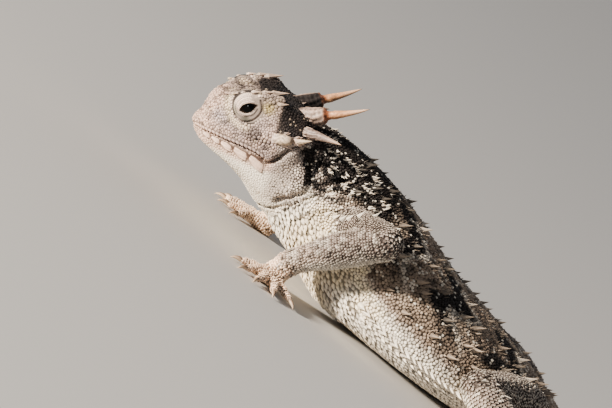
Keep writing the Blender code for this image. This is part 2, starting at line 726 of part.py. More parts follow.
def build_paw(plan, side, paw):
    """A hand or foot flat on the floor, with its digits spread and clawed."""
    heading = math.radians(plan["heading"])
    forward = Vector((-math.cos(heading), side * math.sin(heading), 0))
    outward = Vector((math.sin(heading), side * math.cos(heading), 0))
    bend, end = limb_joint(plan, "bend", side), limb_joint(plan, "end", side)
    way = (end - bend).normalized()
    radius = plan["radii"][2]
    sole = Vector((end.x, end.y, 0)) + way * 0.6
    sole.z = 0
    half_width, palm_length = paw["half_width"], paw["palm"]
    rings = []
    for share, wide, tall in PALM_SECTIONS:
        centre = sole + forward * (palm_length * share) + Vector((0, 0, tall * PALM_LEVEL))
        rings.append([
            centre
            + outward * (half_width * wide * math.cos(2 * math.pi * n / LIMB_SIDES))
            + Vector((0, 0, tall * math.sin(2 * math.pi * n / LIMB_SIDES)))
            for n in range(LIMB_SIDES)
        ])
    palm = loft_mesh(rings)
    joint = end + way * (GAP / 2)
    inside = sole + Vector((0, 0, 1.0)) + way * 0.5
    stub = cone_rings(joint, inside, radius, LIMB_SIDES, ((0, 1.0), (0.5, 0.98), (1.0, 0.8)))
    pieces = [loft_mesh(stub)]
    knuckle = sole + forward * palm_length
    for n, length in enumerate(paw["digits"]):
        turn = math.radians(DIGIT_SPREAD[n])
        digit_way = forward * math.cos(turn) + outward * math.sin(turn)
        root = knuckle - forward * (DIGIT_ROOT_BACK * palm_length)
        root += outward * (half_width * DIGIT_ROOT_STEP * (n - 2))
        root.z = DIGIT_ROOT_LEVEL
        tip = root + digit_way * (length + DIGIT_SUNK)
        tip.z = DIGIT_RADIUS * 0.8
        shares = ((0, 1.15), (0.4, 1.1), (0.62, 1.2), (1.0, 0.8))
        pieces.append(loft_mesh(cone_rings(root, tip, DIGIT_RADIUS, 6, shares, 0.3)))
        start = tip - digit_way * CLAW_SUNK + Vector((0, 0, 0.1))
        point = tip + digit_way * CLAW_LENGTH
        point.z = CLAW_TIP_LEVEL
        claw = cone_rings(start, point, CLAW_RADIUS, 5, ((0, 1.0), (0.55, 0.66)), 0.2)
        pieces.append(loft_mesh(claw, point))
    whole = combine(palm, pieces)
    whole = combine(whole, [loft_mesh(lower_limb_rings(plan, side, GAP))], "DIFFERENCE")
    return set_on_floor(whole)


def build_limb(names, plan, side, paw, grown_torso, draw, skin, group, parent):
    root, bend = limb_joint(plan, "root", side), limb_joint(plan, "bend", side)
    end = limb_joint(plan, "end", side)
    upper = combine(upper_limb(plan, side), [grown_torso.copy()], "DIFFERENCE")
    finish(names[0], upper, root, skin, group, parent)
    rings = lower_limb_rings(plan, side)
    lower = combine(loft_mesh(rings), limb_spines(rings, draw))
    lower = combine(lower, [upper_limb(plan, side, GAP)], "DIFFERENCE")
    finish(names[1], lower, bend, skin, group, parent)
    finish(names[2], build_paw(plan, side, paw), end, skin, group, parent)


def centre_on_floor(group, parent):
    """Moves the whole animal so that the origin lies under the middle of it."""
    bpy.context.view_layer.update()
    corners = [
        obj.matrix_world @ v.co
        for obj in group.objects if obj.type == "MESH"
        for v in obj.data.vertices
    ]
    for axis in (0, 1):
        low = min(corner[axis] for corner in corners)
        high = max(corner[axis] for corner in corners)
        parent.location[axis] = -(low + high) / 2


def build_lizard():
    clear_scene()
    draw = random.Random(SEED)
    group = collection("horned_lizard")
    parent = bpy.data.objects.new("lizard_on_floor", None)
    group.objects.link(parent)
    skin = material("grey_tan_skin", SKIN_COLOUR, 0.8)
    pale = material("pale_throat_skin", BELLY_COLOUR, 0.8)
    horn = material("horn", HORN_COLOUR, 0.5)
    eye = material("dark_eye", EYE_COLOUR, 0.08)
    build_trunk(draw, skin, group, parent)
    build_head(skin, pale, eye, group, parent)
    build_horns(horn, group, parent)
    grown_torso = trunk_mesh(spread(TORSO_START - 2, TAIL_START + 6, 2.3), 36, GAP)
    arms = {"left": LEFT_ARM, "right": RIGHT_ARM}
    for side, name in ((-1, "left"), (1, "right")):
        build_limb((f"upper_arm_{name}", f"forearm_{name}", f"hand_{name}"),
                   arms[name], side, HAND, grown_torso, draw, skin, group, parent)
        build_limb((f"thigh_{name}", f"shank_{name}", f"foot_{name}"),
                   LEG, side, FOOT, grown_torso, draw, skin, group, parent)
    centre_on_floor(group, parent)


build_lizard()
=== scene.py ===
"""Looks of a life-size desert horned lizard that rests on its belly with its chest propped up.

Lengths are in millimetres unless a name says otherwise. A place on the animal is written as
(s, y, z): s runs back from the tip of the snout, y to the animal's right, z up from the floor.
"""

import math
import random

import bmesh
import bpy
import numpy as np
from mathutils import Matrix, Vector
from mathutils.bvhtree import BVHTree
from mathutils.kdtree import KDTree


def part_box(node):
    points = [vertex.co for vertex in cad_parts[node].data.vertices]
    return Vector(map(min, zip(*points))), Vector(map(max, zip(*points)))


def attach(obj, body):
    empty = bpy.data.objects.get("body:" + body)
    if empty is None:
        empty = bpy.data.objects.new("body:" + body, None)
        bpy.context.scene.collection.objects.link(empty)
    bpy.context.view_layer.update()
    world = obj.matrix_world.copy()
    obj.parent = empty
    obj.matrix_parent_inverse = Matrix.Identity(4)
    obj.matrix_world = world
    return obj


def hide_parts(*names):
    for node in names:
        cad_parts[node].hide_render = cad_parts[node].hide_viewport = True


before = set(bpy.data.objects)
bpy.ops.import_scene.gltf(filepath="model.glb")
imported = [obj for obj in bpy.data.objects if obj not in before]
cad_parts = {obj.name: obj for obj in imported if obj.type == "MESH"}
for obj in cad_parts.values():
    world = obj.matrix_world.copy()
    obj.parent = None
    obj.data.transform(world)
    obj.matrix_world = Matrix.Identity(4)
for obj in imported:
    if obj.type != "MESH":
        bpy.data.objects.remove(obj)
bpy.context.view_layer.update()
bpy.ops.object.select_all(action="DESELECT")

# Trunk and tail. The flesh is one long lofted tube, low and broad like a flattened toad, with
# the chest raised by the forelegs. It is modelled thinner than the solids by the depth of the
# scales that cover it.
MM = 0.001
SCALE_DEPTH = 0.2
TRUNK_FRONT, TAIL_ROOT, TAIL_TIP = 14.4, 75.5, 112.0
BACK_LINE = (
    (14.4, 21.8), (18, 22.4), (23, 22.2), (29, 21.2), (33, 20.3), (38, 18.7), (42, 17.2),
    (48, 15.4), (56, 13.8), (63, 12.2), (69, 10.4), (75.5, 8.2), (84, 6.3), (94, 4.6),
    (104, 3.0), (112, 1.5),
)
FLANK_LEVEL = (
    (14.4, 14.6), (20, 13.0), (26, 10.8), (33, 8.4), (40, 6.6), (48, 5.5), (60, 4.9),
    (70, 4.3), (77, 3.6), (90, 2.6), (102, 1.6), (112, 0.7),
)
BELLY_LINE = (
    (14.4, 6.9), (18, 5.7), (22, 4.3), (26, 2.8), (30, 1.1), (33.5, -0.12), (37, -0.12),
    (112, -0.12),
)
HALF_WIDTH = (
    (14.4, 9.0), (18, 9.2), (22, 10.2), (27, 12.1), (33, 14.7), (40, 17.3), (47, 18.4),
    (54, 17.6), (61, 14.6), (67, 11.0), (72, 8.4), (77, 6.6), (85, 4.9), (95, 3.3),
    (104, 2.0), (112, 0.8),
)
PITCH = ((14.4, 9), (26, 8), (40, 5), (60, 3), (112, 3))
SWAY = ((14.4, 0), (70, 0), (80, 0.5), (92, 3.4), (103, 8.0), (112, 13.0))
TURN = ((14.4, 5), (24, 0), (70, 0), (80, 8), (92, 19), (103, 27), (112, 32))
BACK_SQUARE, BELLY_SQUARE = 2.15, 2.6
FLOOR_CLEARANCE = 0.02


def along(knots, t):
    """Value at t, a number or an array, of the smooth curve through the (t, value) knots."""
    at, value = np.array(knots, float).T
    chord = np.diff(value) / np.diff(at)
    slope = np.concatenate((chord[:1], (chord[1:] + chord[:-1]) / 2, chord[-1:]))
    t = np.clip(np.asarray(t, float), at[0], at[-1])
    i = np.clip(np.searchsorted(at, t, side="right") - 1, 0, len(at) - 2)
    step = at[i + 1] - at[i]
    u = (t - at[i]) / step
    return (
        (2 * u**3 - 3 * u**2 + 1) * value[i]
        + (u**3 - 2 * u**2 + u) * slope[i] * step
        + (3 * u**2 - 2 * u**3) * value[i + 1]
        + (u**3 - u**2) * slope[i + 1] * step
    )


def unit(vectors):
    return vectors / np.maximum(np.linalg.norm(vectors, axis=-1, keepdims=True), 1e-9)


def trunk_point(s, angle, grow=0.0):
    """Points of the trunk. The angle is from the ridge of the back, positive to the right."""
    s, angle = np.broadcast_arrays(np.asarray(s, float), np.asarray(angle, float))
    pitch, turn = np.radians(along(PITCH, s)), np.radians(along(TURN, s))
    flank = along(FLANK_LEVEL, s)
    sine, cosine = np.sin(angle), np.cos(angle)
    over = cosine >= 0
    power = np.where(over, 2 / BACK_SQUARE, 2 / BELLY_SQUARE)
    out = (along(HALF_WIDTH, s) + grow) * np.sign(sine) * np.abs(sine) ** power
    reach = np.where(over, along(BACK_LINE, s) - flank, flank - along(BELLY_LINE, s)) + grow
    rise = reach * np.sign(cosine) * np.abs(cosine) ** power
    return np.stack((
        s - np.sin(turn) * out + np.sin(pitch) * np.cos(turn) * rise,
        along(SWAY, s) + np.cos(turn) * out + np.sin(pitch) * np.sin(turn) * rise,
        flank + np.cos(pitch) * rise,
    ), axis=-1)


def sheet_of(name, points, cell):
    """A part of the flesh as rings of points, with the cell that it takes in a flat layout."""
    back = unit(np.gradient(points, axis=0))
    around = np.roll(points, -1, axis=1) - np.roll(points, 1, axis=1)
    return {"name": name, "points": points, "back": back, "around": around, "cell": cell}


trunk_stations = np.arange(TRUNK_FRONT, TAIL_TIP + 0.01, 0.61)
ring_angles = np.linspace(-math.pi, math.pi, 97)[:-1]
trunk_rings = trunk_point(trunk_stations[:, None], ring_angles[None, :], -SCALE_DEPTH)
trunk_rings[..., 2] = np.maximum(trunk_rings[..., 2], FLOOR_CLEARANCE)
sheets = [sheet_of("trunk", trunk_rings, (0.0, 0.0, 1.0, 1.0))]

# Head. Sections from the blunt snout to the nape, measured back, out and up from the front of
# the mouth, with overhanging brows and broad cheeks. The mouth is level in these sections, and
# the whole head is then bowed and turned a little to the left.
MOUTH_FRONT = np.array((0.8, -1.4, 9.7))
HEAD_PITCH, HEAD_TURN = math.radians(18.0), math.radians(5.6)
HEAD_END = 16.4
ROOF = (
    (-0.5, 1.9), (0, 2.8), (0.35, 4.3), (0.9, 6.1), (2.5, 7.5), (4.5, 8.3), (8, 9.0), (11, 9.1),
    (14, 8.6), (17.5, 7.8), (21, 6.6),
)
BROW_OUT = (
    (-0.5, 0.6), (0, 1.7), (0.7, 2.9), (2.5, 4.4), (4.5, 5.7), (8, 7.0), (11, 7.3), (14, 6.9),
    (17.5, 6.8), (21, 6.8),
)
BROW_UP = (
    (-0.5, 1.8), (0, 2.7), (0.35, 4.0), (0.9, 5.7), (2.5, 7.3), (4.5, 8.7), (8, 10.0),
    (10.3, 10.4), (12, 9.1), (14, 8.5), (17.5, 7.6), (21, 6.4),
)
CHEEK_OUT = (
    (-0.5, 0.8), (0, 2.1), (0.7, 3.4), (2.5, 5.0), (4.5, 6.3), (8, 7.9), (11, 9.0), (14, 9.7),
    (17.5, 9.6), (21, 9.2),
)
CHEEK_UP = ((-0.5, 1.0), (0.7, 2.2), (2.5, 2.8), (8, 3.4), (14, 4.2), (21, 4.2))
LIP_OUT = (
    (-0.5, 0.7), (0, 1.9), (0.7, 3.2), (2.5, 4.9), (4.5, 6.1), (8, 7.7), (11, 8.6), (14, 9.0),
    (21, 9.0),
)
JAW_OUT = (
    (-0.5, 0.4), (0, 1.3), (0.7, 2.5), (2.5, 4.2), (4.5, 5.3), (8, 6.7), (11, 7.7), (14, 8.2),
    (21, 8.4),
)
JAW_UP = ((-0.5, 0.2), (0.7, -0.9), (2.5, -1.5), (4.5, -2.0), (8, -3.0), (11, -4.2), (15, -6.0))
CHIN_UP = (
    (-0.5, 0.2), (0.7, -1.0), (2.5, -1.8), (4.5, -2.5), (7, -3.8), (9, -4.9), (10.8, -6.5),
    (14, -8.8), (21, -10.0),
)
EYE = np.array((5.75, 4.4, 6.95))  # back, out, up
EYE_RADIUS, LID_RADIUS = 2.0, 2.7


def turned(places):
    """Places from the level head (back, right, up) to where the bowed head has them."""
    pitch = np.array((
        (math.cos(HEAD_PITCH), 0, -math.sin(HEAD_PITCH)),
        (0, 1, 0),
        (math.sin(HEAD_PITCH), 0, math.cos(HEAD_PITCH)),
    ))
    turn = np.array((
        (math.cos(HEAD_TURN), -math.sin(HEAD_TURN), 0),
        (math.sin(HEAD_TURN), math.cos(HEAD_TURN), 0),
        (0, 0, 1),
    ))
    return np.asarray(places, float) @ (turn @ pitch).T


def on_head(places):
    return turned(places) + MOUTH_FRONT


def head_section(back):
    """The corners of a section, from the roof round the left side, under and up the right."""
    roof, brow_out, brow_up = along(ROOF, back), along(BROW_OUT, back), along(BROW_UP, back)
    cheek_out, cheek_up = along(CHEEK_OUT, back), along(CHEEK_UP, back)
    jaw_out, jaw_up, chin = along(JAW_OUT, back), along(JAW_UP, back), along(CHIN_UP, back)
    nothing = roof * 0
    half = (
        (nothing, roof),
        (brow_out * 0.5, roof * 0.6 + brow_up * 0.4),
        (brow_out, brow_up),
        (brow_out * 0.45 + cheek_out * 0.5, brow_up * 0.62 + cheek_up * 0.38),
        (cheek_out, cheek_up),
        (along(LIP_OUT, back), 0.2 + nothing),
        (jaw_out, jaw_up),
        (jaw_out * 0.55, chin * 0.85 + jaw_up * 0.15),
        (nothing, chin),
    )
    right_side = half[-2:0:-1]
    return np.stack([np.stack((-out, up), axis=-1) for out, up in half]
                    + [np.stack((out, up), axis=-1) for out, up in right_side], axis=-2)


def head_point(back, turn, grow=0.0):
    """Points of the level head. turn is 0 on the roof, 0.5 under the chin, by the left side."""
    back, turn = np.broadcast_arrays(np.asarray(back, float), np.asarray(turn, float))
    corners = head_section(back)
    count = corners.shape[-2]
    place = np.mod(turn, 1.0) * count
    low = np.floor(place).astype(int) % count
    u = (place - np.floor(place))[..., None]
    a, b, c, d = (
        np.take_along_axis(corners, ((low + k) % count)[..., None, None], axis=-2)[..., 0, :]
        for k in (-1, 0, 1, 2)
    )
    flat = 0.5 * (2 * b + (c - a) * u + (2 * a - 5 * b + 4 * c - d) * u**2
                  + (3 * b - a - 3 * c + d) * u**3)
    core = np.stack((0 * back, along(CHEEK_UP, back)), axis=-1)
    flat = flat + unit(flat - core) * grow
    return np.concatenate((back[..., None], flat), axis=-1)


head_stations = np.concatenate((
    (-0.45, -0.4, -0.3, -0.15, 0.05, 0.3),
    np.arange(0.6, HEAD_END, 0.35),
))
head_turns = np.arange(96) / 96
head_rings = head_point(head_stations[:, None], head_turns[None, :], -SCALE_DEPTH)
closing = np.clip((head_stations - 14.0) / (HEAD_END - 14.0), 0, 1)[:, None, None]
head_core = np.array((0.0, 0.0, 1.0))
head_rings[..., 1:] -= (head_rings[..., 1:] - head_core[1:]) * 0.12 * closing**2
sheets.append(sheet_of("head", on_head(head_rings), (0.0, 0.0, 1.0, 1.0)))

# Limbs. Each has an upper part with a rounded elbow or knee, a lower part and a paw whose five
# clawed digits are spread flat on the floor. The forelegs are planted apart, the hind legs are
# folded alongside the rump.
SIDES = {"left": -1, "right": 1}
ARMS = {
    "left": {
        "root": (26.8, 6.5, 12.4), "bend": (34.0, 20.2, 16.6), "end": (23.1, 15.2, 3.9),
        "radii": (3.4, 3.1, 2.2), "heading": 74.0,
    },
    "right": {
        "root": (26.8, 6.5, 12.4), "bend": (33.0, 20.3, 15.4), "end": (21.4, 15.4, 3.9),
        "radii": (3.4, 3.1, 2.2), "heading": 12.0,
    },
}
LEG = {
    "root": (68.0, 5.0, 6.4), "bend": (55.4, 25.0, 7.8), "end": (70.0, 27.6, 3.1),
    "radii": (4.4, 3.3, 1.9), "heading": 74.0,
}
HAND = {"palm": 3.8, "half_width": 2.5, "digits": (2.6, 3.7, 4.3, 4.1, 2.9)}
FOOT = {"palm": 4.6, "half_width": 2.6, "digits": (2.7, 3.9, 5.2, 6.4, 3.9)}
DIGIT_SPREAD = (-58, -27, -3, 22, 60)
DIGIT_RADIUS = 0.66
CLAW_LENGTH = 1.5
LIMB_SIDES = 28


def tube(start, end, radius, widths, bow=0.0, flat=0.92, rings=22, sides=LIMB_SIDES):
    """Rings round a bowed line. widths are (share of the length, share of the radius) knots."""
    axis = end - start
    side = unit(np.cross(axis, (0, 0, 1)))
    rise = unit(np.cross(side, axis))
    share = np.linspace(widths[0][0], widths[-1][0], rings)[:, None, None]
    turn = (np.arange(sides) * 2 * math.pi / sides)[None, :, None]
    middle = start + axis * share + rise * (bow * 4 * share * (1 - share))
    width = radius * along(widths, share)
    return middle + side * width * np.cos(turn) + rise * width * flat * np.sin(turn)


def joint(plan, which, side):
    s, out, z = plan[which]
    return np.array((s, side * out, z))


def limb_sheets(name, plan, side, cell):
    root, bend, end = (joint(plan, which, side) for which in ("root", "bend", "end"))
    wide, middle, narrow = (radius - SCALE_DEPTH for radius in plan["radii"])
    thin = middle / wide
    upper = tube(root, bend, wide, (
        (0, 1.0), (0.2, 1.02), (0.4, 0.98), (0.6, 0.3 + 0.7 * thin), (0.78, thin * 1.02),
        (0.88, thin * 0.94), (0.95, thin * 0.7), (0.985, thin * 0.4), (1.0, 0.02),
    ), 0.5)
    start = bend + unit(root - bend) * (middle * 0.95)
    thin = narrow / middle
    lower = tube(start, end, middle, (
        (0, 0.9), (0.18, 0.98), (0.36, 1.0), (0.55, 0.94), (0.75, 0.45 + 0.45 * thin),
        (0.9, thin * 1.04), (1.0, thin), (1.06, thin * 0.98),
    ), 0.35)
    u, v, wide_cell, tall_cell = cell
    return [
        sheet_of(f"{name}_upper", upper, (u, v, wide_cell / 2, tall_cell)),
        sheet_of(f"{name}_lower", lower, (u + wide_cell / 2, v, wide_cell / 2, tall_cell)),
    ]


def paw_plan(plan, side, paw):
    """The sole, the way forward and outward, and each digit's root, tip and direction."""
    heading = math.radians(plan["heading"])
    forward = np.array((-math.cos(heading), side * math.sin(heading), 0))
    outward = np.array((math.sin(heading), side * math.cos(heading), 0))
    end = joint(plan, "end", side)
    way = unit(end - joint(plan, "bend", side))
    sole = (end + way * 0.6) * (1, 1, 0)
    knuckle = sole + forward * paw["palm"]
    digits = []
    for n, length in enumerate(paw["digits"]):
        turn = math.radians(DIGIT_SPREAD[n])
        digit_way = forward * math.cos(turn) + outward * math.sin(turn)
        root = knuckle - forward * (0.35 * paw["palm"])
        root = root + outward * (paw["half_width"] * 0.3 * (n - 2)) + (0, 0, 1.0)
        tip = root + digit_way * (length + 1.3)
        tip[2] = DIGIT_RADIUS * 0.8
        digits.append((root, tip, digit_way))
    return sole, end, way, forward, outward, digits


def paw_sheets(name, plan, side, paw, cell):
    sole, end, way, forward, outward, digits = paw_plan(plan, side, paw)
    inset = SCALE_DEPTH * 0.6
    share = np.linspace(-0.42, 1.06, 16)
    wide = along(((-0.42, 0.4), (-0.25, 0.72), (0.1, 0.86), (0.5, 1.0), (0.85, 0.98),
                  (1.06, 0.7)), share) * paw["half_width"] - inset
    tall = along(((-0.42, 0.7), (-0.25, 1.15), (0.1, 1.4), (0.5, 1.25), (0.85, 1.0),
                  (1.06, 0.75)), share)
    turn = np.arange(LIMB_SIDES) * 2 * math.pi / LIMB_SIDES
    palm = (
        sole
        + forward * (paw["palm"] * share)[:, None, None]
        + outward * (wide[:, None] * np.cos(turn))[..., None]
        + np.array((0, 0, 1)) * (
            (tall * 0.92)[:, None] + (tall - inset)[:, None] * np.sin(turn)
        )[..., None]
    )
    radius = plan["radii"][2] - SCALE_DEPTH
    ankle = tube(end - way * 0.6, sole + (0, 0, 1.0) + way * 0.5, radius,
                 ((0, 1.0), (0.5, 0.98), (1.0, 0.8)), rings=8)
    u, v, wide_cell, tall_cell = cell
    column = wide_cell / 7
    made = [
        sheet_of(f"{name}_palm", palm, (u, v, column, tall_cell)),
        sheet_of(f"{name}_ankle", ankle, (u + column, v, column, tall_cell)),
    ]
    for n, (root, tip, _) in enumerate(digits):
        digit = tube(root, tip, DIGIT_RADIUS - inset * 0.4, (
            (0, 1.15), (0.3, 1.05), (0.5, 1.18), (0.68, 1.0), (0.84, 1.12), (1.0, 0.8),
        ), 0.3, 1.0, 14, 16)
        place = (u + (n + 2) * column, v, column, tall_cell)
        made.append(sheet_of(f"{name}_digit_{n}", digit, place))
    return made


for name, side in SIDES.items():
    column = 0.0 if side < 0 else 0.5
    sheets += limb_sheets(f"arm_{name}", ARMS[name], side, (column, 0.0, 0.5, 0.5))
    sheets += limb_sheets(f"leg_{name}", LEG, side, (column, 0.5, 0.5, 0.5))
    sheets += paw_sheets(f"hand_{name}", ARMS[name], side, HAND, (column, 0.0, 0.5, 0.5))
    sheets += paw_sheets(f"foot_{name}", LEG, side, FOOT, (column, 0.5, 0.5, 0.5))

# Skin. The parts of the flesh grow together into one closed skin, which is then softened where
# limbs join the trunk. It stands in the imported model's frame, found from the place of an eye.
VOXEL = 0.42
eye_low, eye_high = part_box("eye_left")
eye_from_snout = on_head(EYE * (1, -1, 1))
SNOUT_TO_ROW = np.array(((eye_low.x + eye_high.x) / 2 / MM - eye_from_snout[0], 0.0, 0.0))


def to_row(places):
    """From millimetres behind the snout to metres in the model's frame."""
    return (places + SNOUT_TO_ROW) * MM


def mesh_of_rings(groups):
    """One mesh of closed tubes, each given as rings of points."""
    points, faces, first = [], [], 0
    for rings in groups:
        count, sides = rings.shape[:2]
        points.append(rings.reshape(-1, 3))
        index = first + np.arange(count * sides).reshape(count, sides)
        after = np.roll(index, -1, axis=1)
        quads = np.stack((index[:-1], after[:-1], after[1:], index[1:]), axis=-1)
        faces += quads.reshape(-1, 4).tolist()
        faces.append(index[0][::-1].tolist())
        faces.append(index[-1].tolist())
        first += count * sides
    mesh = bpy.data.meshes.new("flesh")
    mesh.from_pydata(to_row(np.concatenate(points)).tolist(), [], faces)
    return mesh


skin = bpy.data.objects.new("skin", mesh_of_rings([sheet["points"] for sheet in sheets]))
bpy.context.collection.objects.link(skin)
skin.select_set(True)
bpy.context.view_layer.objects.active = skin
for side in SIDES.values():
    bpy.ops.object.select_all(action="DESELECT")
    eye_place = to_row(on_head(EYE * (1, side, 1)))
    bpy.ops.mesh.primitive_uv_sphere_add(
        segments=48, ring_count=32, radius=(LID_RADIUS - SCALE_DEPTH) * MM, location=eye_place)
    skin.select_set(True)
    bpy.context.view_layer.objects.active = skin
    bpy.ops.object.join()
bpy.ops.object.mode_set(mode="EDIT")
bpy.ops.mesh.select_all(action="SELECT")
bpy.ops.mesh.normals_make_consistent(inside=False)
bpy.ops.object.mode_set(mode="OBJECT")
remesh = skin.modifiers.new("grown together", "REMESH")
remesh.mode = "VOXEL"
remesh.voxel_size = VOXEL * MM
bpy.ops.object.modifier_apply(modifier=remesh.name)


def places_of(piece):
    """A mesh's points in millimetres behind the snout."""
    flat = np.empty(len(piece.data.vertices) * 3, np.float32)
    piece.data.vertices.foreach_get("co", flat)
    return flat.reshape(-1, 3).astype(float) / MM - SNOUT_TO_ROW


def set_places(piece, places):
    piece.data.vertices.foreach_set("co", to_row(places).astype(np.float32).ravel())
    piece.data.update()


def edges_of(piece):
    pairs = np.empty(len(piece.data.edges) * 2, np.int32)
    piece.data.edges.foreach_get("vertices", pairs)
    return pairs.reshape(-1, 2)


def softened(places, pairs, weight, rounds):
    """Moves each point towards the mean of its neighbours, as far as its weight says."""
    count = len(places)
    ends = np.concatenate((pairs[:, 0], pairs[:, 1]))
    others = np.concatenate((pairs[:, 1], pairs[:, 0]))
    degree = np.maximum(np.bincount(ends, minlength=count), 1)
    for _ in range(rounds):
        mean = np.stack([
            np.bincount(ends, weights=places[others, axis], minlength=count) / degree
            for axis in range(3)
        ], axis=-1)
        places = places + (mean - places) * weight[:, None]
    return places


def nearness(places, centre, radius):
    """1 at the centre, falling smoothly to 0 at the radius."""
    share = np.clip(1 - np.linalg.norm(places - centre, axis=1) / radius, 0, 1)
    return share * share * (3 - 2 * share)


skin_places = places_of(skin)
soft = np.full(len(skin_places), 0.12)
for name, side in SIDES.items():
    for plan, reach in ((ARMS[name], 7.5), (LEG, 8.5)):
        root, bend, end = (joint(plan, which, side) for which in ("root", "bend", "end"))
        leaving = root + (bend - root) * 0.45
        for centre, radius in ((leaving, reach), (bend, 4.2), (end, 3.4)):
            soft = np.maximum(soft, 0.75 * nearness(skin_places, centre, radius))
skin_places = softened(skin_places, edges_of(skin), soft, 26)
set_places(skin, skin_places)
print("skin", len(skin.data.vertices), "points")

# Mouth, lids, nostrils and folds. The skin of a live lizard creases where it bends: the mouth
# line runs into a deep pocket at the angle of the jaw, two folds cross the throat, the neck
# is wrinkled, and each bulging lid has a round crease and a slit that is pointed at both ends.
MOUTH_LINE = (
    (-0.6, 0.0, 0.5), (-0.4, 0.9, 0.5), (-0.1, 1.5, 0.56), (1.15, 3.6, 0.75), (3.5, 5.5, 0.85),
    (7.5, 7.4, 0.95), (8.8, 7.9, 0.87), (10.0, 8.2, 0.57), (11.2, 8.45, 0.1),
)
JAW_FOLD = (
    (11.2, 8.45, 0.1), (11.7, 8.6, 0.45), (12.3, 8.8, 1.1), (13.0, 9.2, 2.4), (13.8, 9.4, 3.7),
    (15.0, 9.2, 4.3),
)
NECK_FOLDS = (
    ((15.4, 8.5, 18.0), (16.6, 8.0, 17.2), (18.0, 7.4, 16.2), (19.1, 7.8, 15.2), (19.6, 8.3, 14.0)),
    ((18.6, 7.4, 18.8), (19.0, 8.0, 17.2), (19.4, 8.2, 15.8), (19.7, 8.4, 14.4)),
    ((21.4, 7.6, 18.9), (21.0, 8.3, 17.4), (20.5, 8.7, 15.8), (19.9, 8.6, 14.2)),
    ((23.2, 8.2, 18.8), (21.6, 9.0, 16.7), (20.0, 8.7, 13.8), (18.1, 8.2, 11.1), (17.0, 7.5, 9.6)),
    ((24.6, 9.8, 17.4), (22.1, 9.0, 15.4), (20.2, 9.0, 12.2), (18.7, 8.3, 10.0), (17.2, 6.8, 8.2),
     (15.9, 5.0, 7.1), (15.3, 2.5, 6.6), (15.1, 0.0, 6.4)),
    ((27.6, 12.2, 17.0), (25.0, 11.2, 14.6), (22.6, 10.3, 11.9), (20.6, 9.0, 8.6)),
)
NECK_FOLD_DEPTHS = (1.2, 0.7, 0.7, 1.2, 0.7, 0.4)
NECK_FOLD_WIDTHS = (0.8, 0.34, 0.34, 0.46, 0.24, 0.24)
LID_CREASE = 2.38  # radius
SLIT_CENTRE, SLIT_TILT = (5.85, 6.97), math.radians(34)
SLIT_LENGTH, SLIT_HEIGHT = 1.45, 0.72  # halves
EYE_SOCKET = 1.5  # how deep the skin goes behind the slit, from the middle of the eye
NOSTRIL = np.array((0.8, 2.5, 4.2))
HEAD_BUMPS = (  # back, out, up, reach, height
    (-0.6, 0.0, 1.9, 2.2, 0.5), (0.2, 0.0, 3.5, 1.5, -0.55), (0.9, 1.2, 6.0, 1.6, 0.15),
    (3.2, 4.6, 5.6, 1.6, 0.2), (7.5, 7.5, 3.6, 1.3, 0.25), (9.6, 8.3, 3.6, 1.4, 0.3),
    (14.4, 3.8, 8.0, 2.6, 0.35), (2.6, 0.0, 7.6, 1.6, -0.25), (1.5, 3.0, 3.0, 1.2, 0.12),
)


def to_level(places):
    """Places on the level head (back, right, up), the other way round from on_head."""
    return (np.asarray(places, float) - MOUTH_FRONT) @ np.linalg.inv(turned(np.eye(3)))


def surface_of(piece):
    mesh = bmesh.new()
    mesh.from_mesh(piece.data)
    mesh.transform(Matrix.Translation((-SNOUT_TO_ROW[0], 0, 0)) @ Matrix.Scale(1 / MM, 4))
    tree = BVHTree.FromBMesh(mesh)
    mesh.free()
    return tree


def traced(surface, knots, step=0.1):
    """Places every step along the line through the knots, laid on the surface."""
    knots = np.array(knots, float)
    lengths = np.concatenate(((0,), np.cumsum(np.linalg.norm(np.diff(knots, axis=0), axis=1))))
    at = np.arange(0, lengths[-1], step)
    line = np.stack([along(tuple(zip(lengths, knots[:, axis])), at) for axis in range(3)], axis=1)
    return np.array([surface.find_nearest(place)[0] for place in line.tolist()])


def distances(places, marks):
    tree = KDTree(len(marks))
    for n, mark in enumerate(marks.tolist()):
        tree.insert(mark, n)
    tree.balance()
    return np.array([tree.find(place)[2] for place in places.tolist()])


surface = surface_of(skin)
creases = []  # line, depth, half width
for side in SIDES.values():
    sided = np.array((1, side, 1))
    creases.append((traced(surface, on_head(np.array(MOUTH_LINE) * sided)), 0.75, 0.2))
    creases.append((traced(surface, on_head(np.array(JAW_FOLD) * sided)), 1.2, 0.34))
    for knots, depth, width in zip(NECK_FOLDS, NECK_FOLD_DEPTHS, NECK_FOLD_WIDTHS):
        creases.append((traced(surface, np.array(knots) * sided), depth, width))
    turn = np.linspace(0, 2 * math.pi, 160)
    ring = EYE * sided + np.stack((
        LID_CREASE * np.cos(turn), np.full(160, side * 1.4), LID_CREASE * np.sin(turn)), axis=1)
    ring = np.array([surface.find_nearest(place)[0] for place in on_head(ring).tolist()])
    creases.append((ring, 0.34, 0.12))
eye_middles = on_head(np.array([EYE * (1, side, 1) for side in SIDES.values()]))
lid_marks = on_head(np.array([EYE * (1, side, 1) + (0, side * 2.3, 0) for side in SIDES.values()]))
nostril_marks = on_head(np.array([NOSTRIL * (1, side, 1) for side in SIDES.values()]))
fine_marks = np.concatenate([line for line, _, _ in creases] + [lid_marks, nostril_marks])
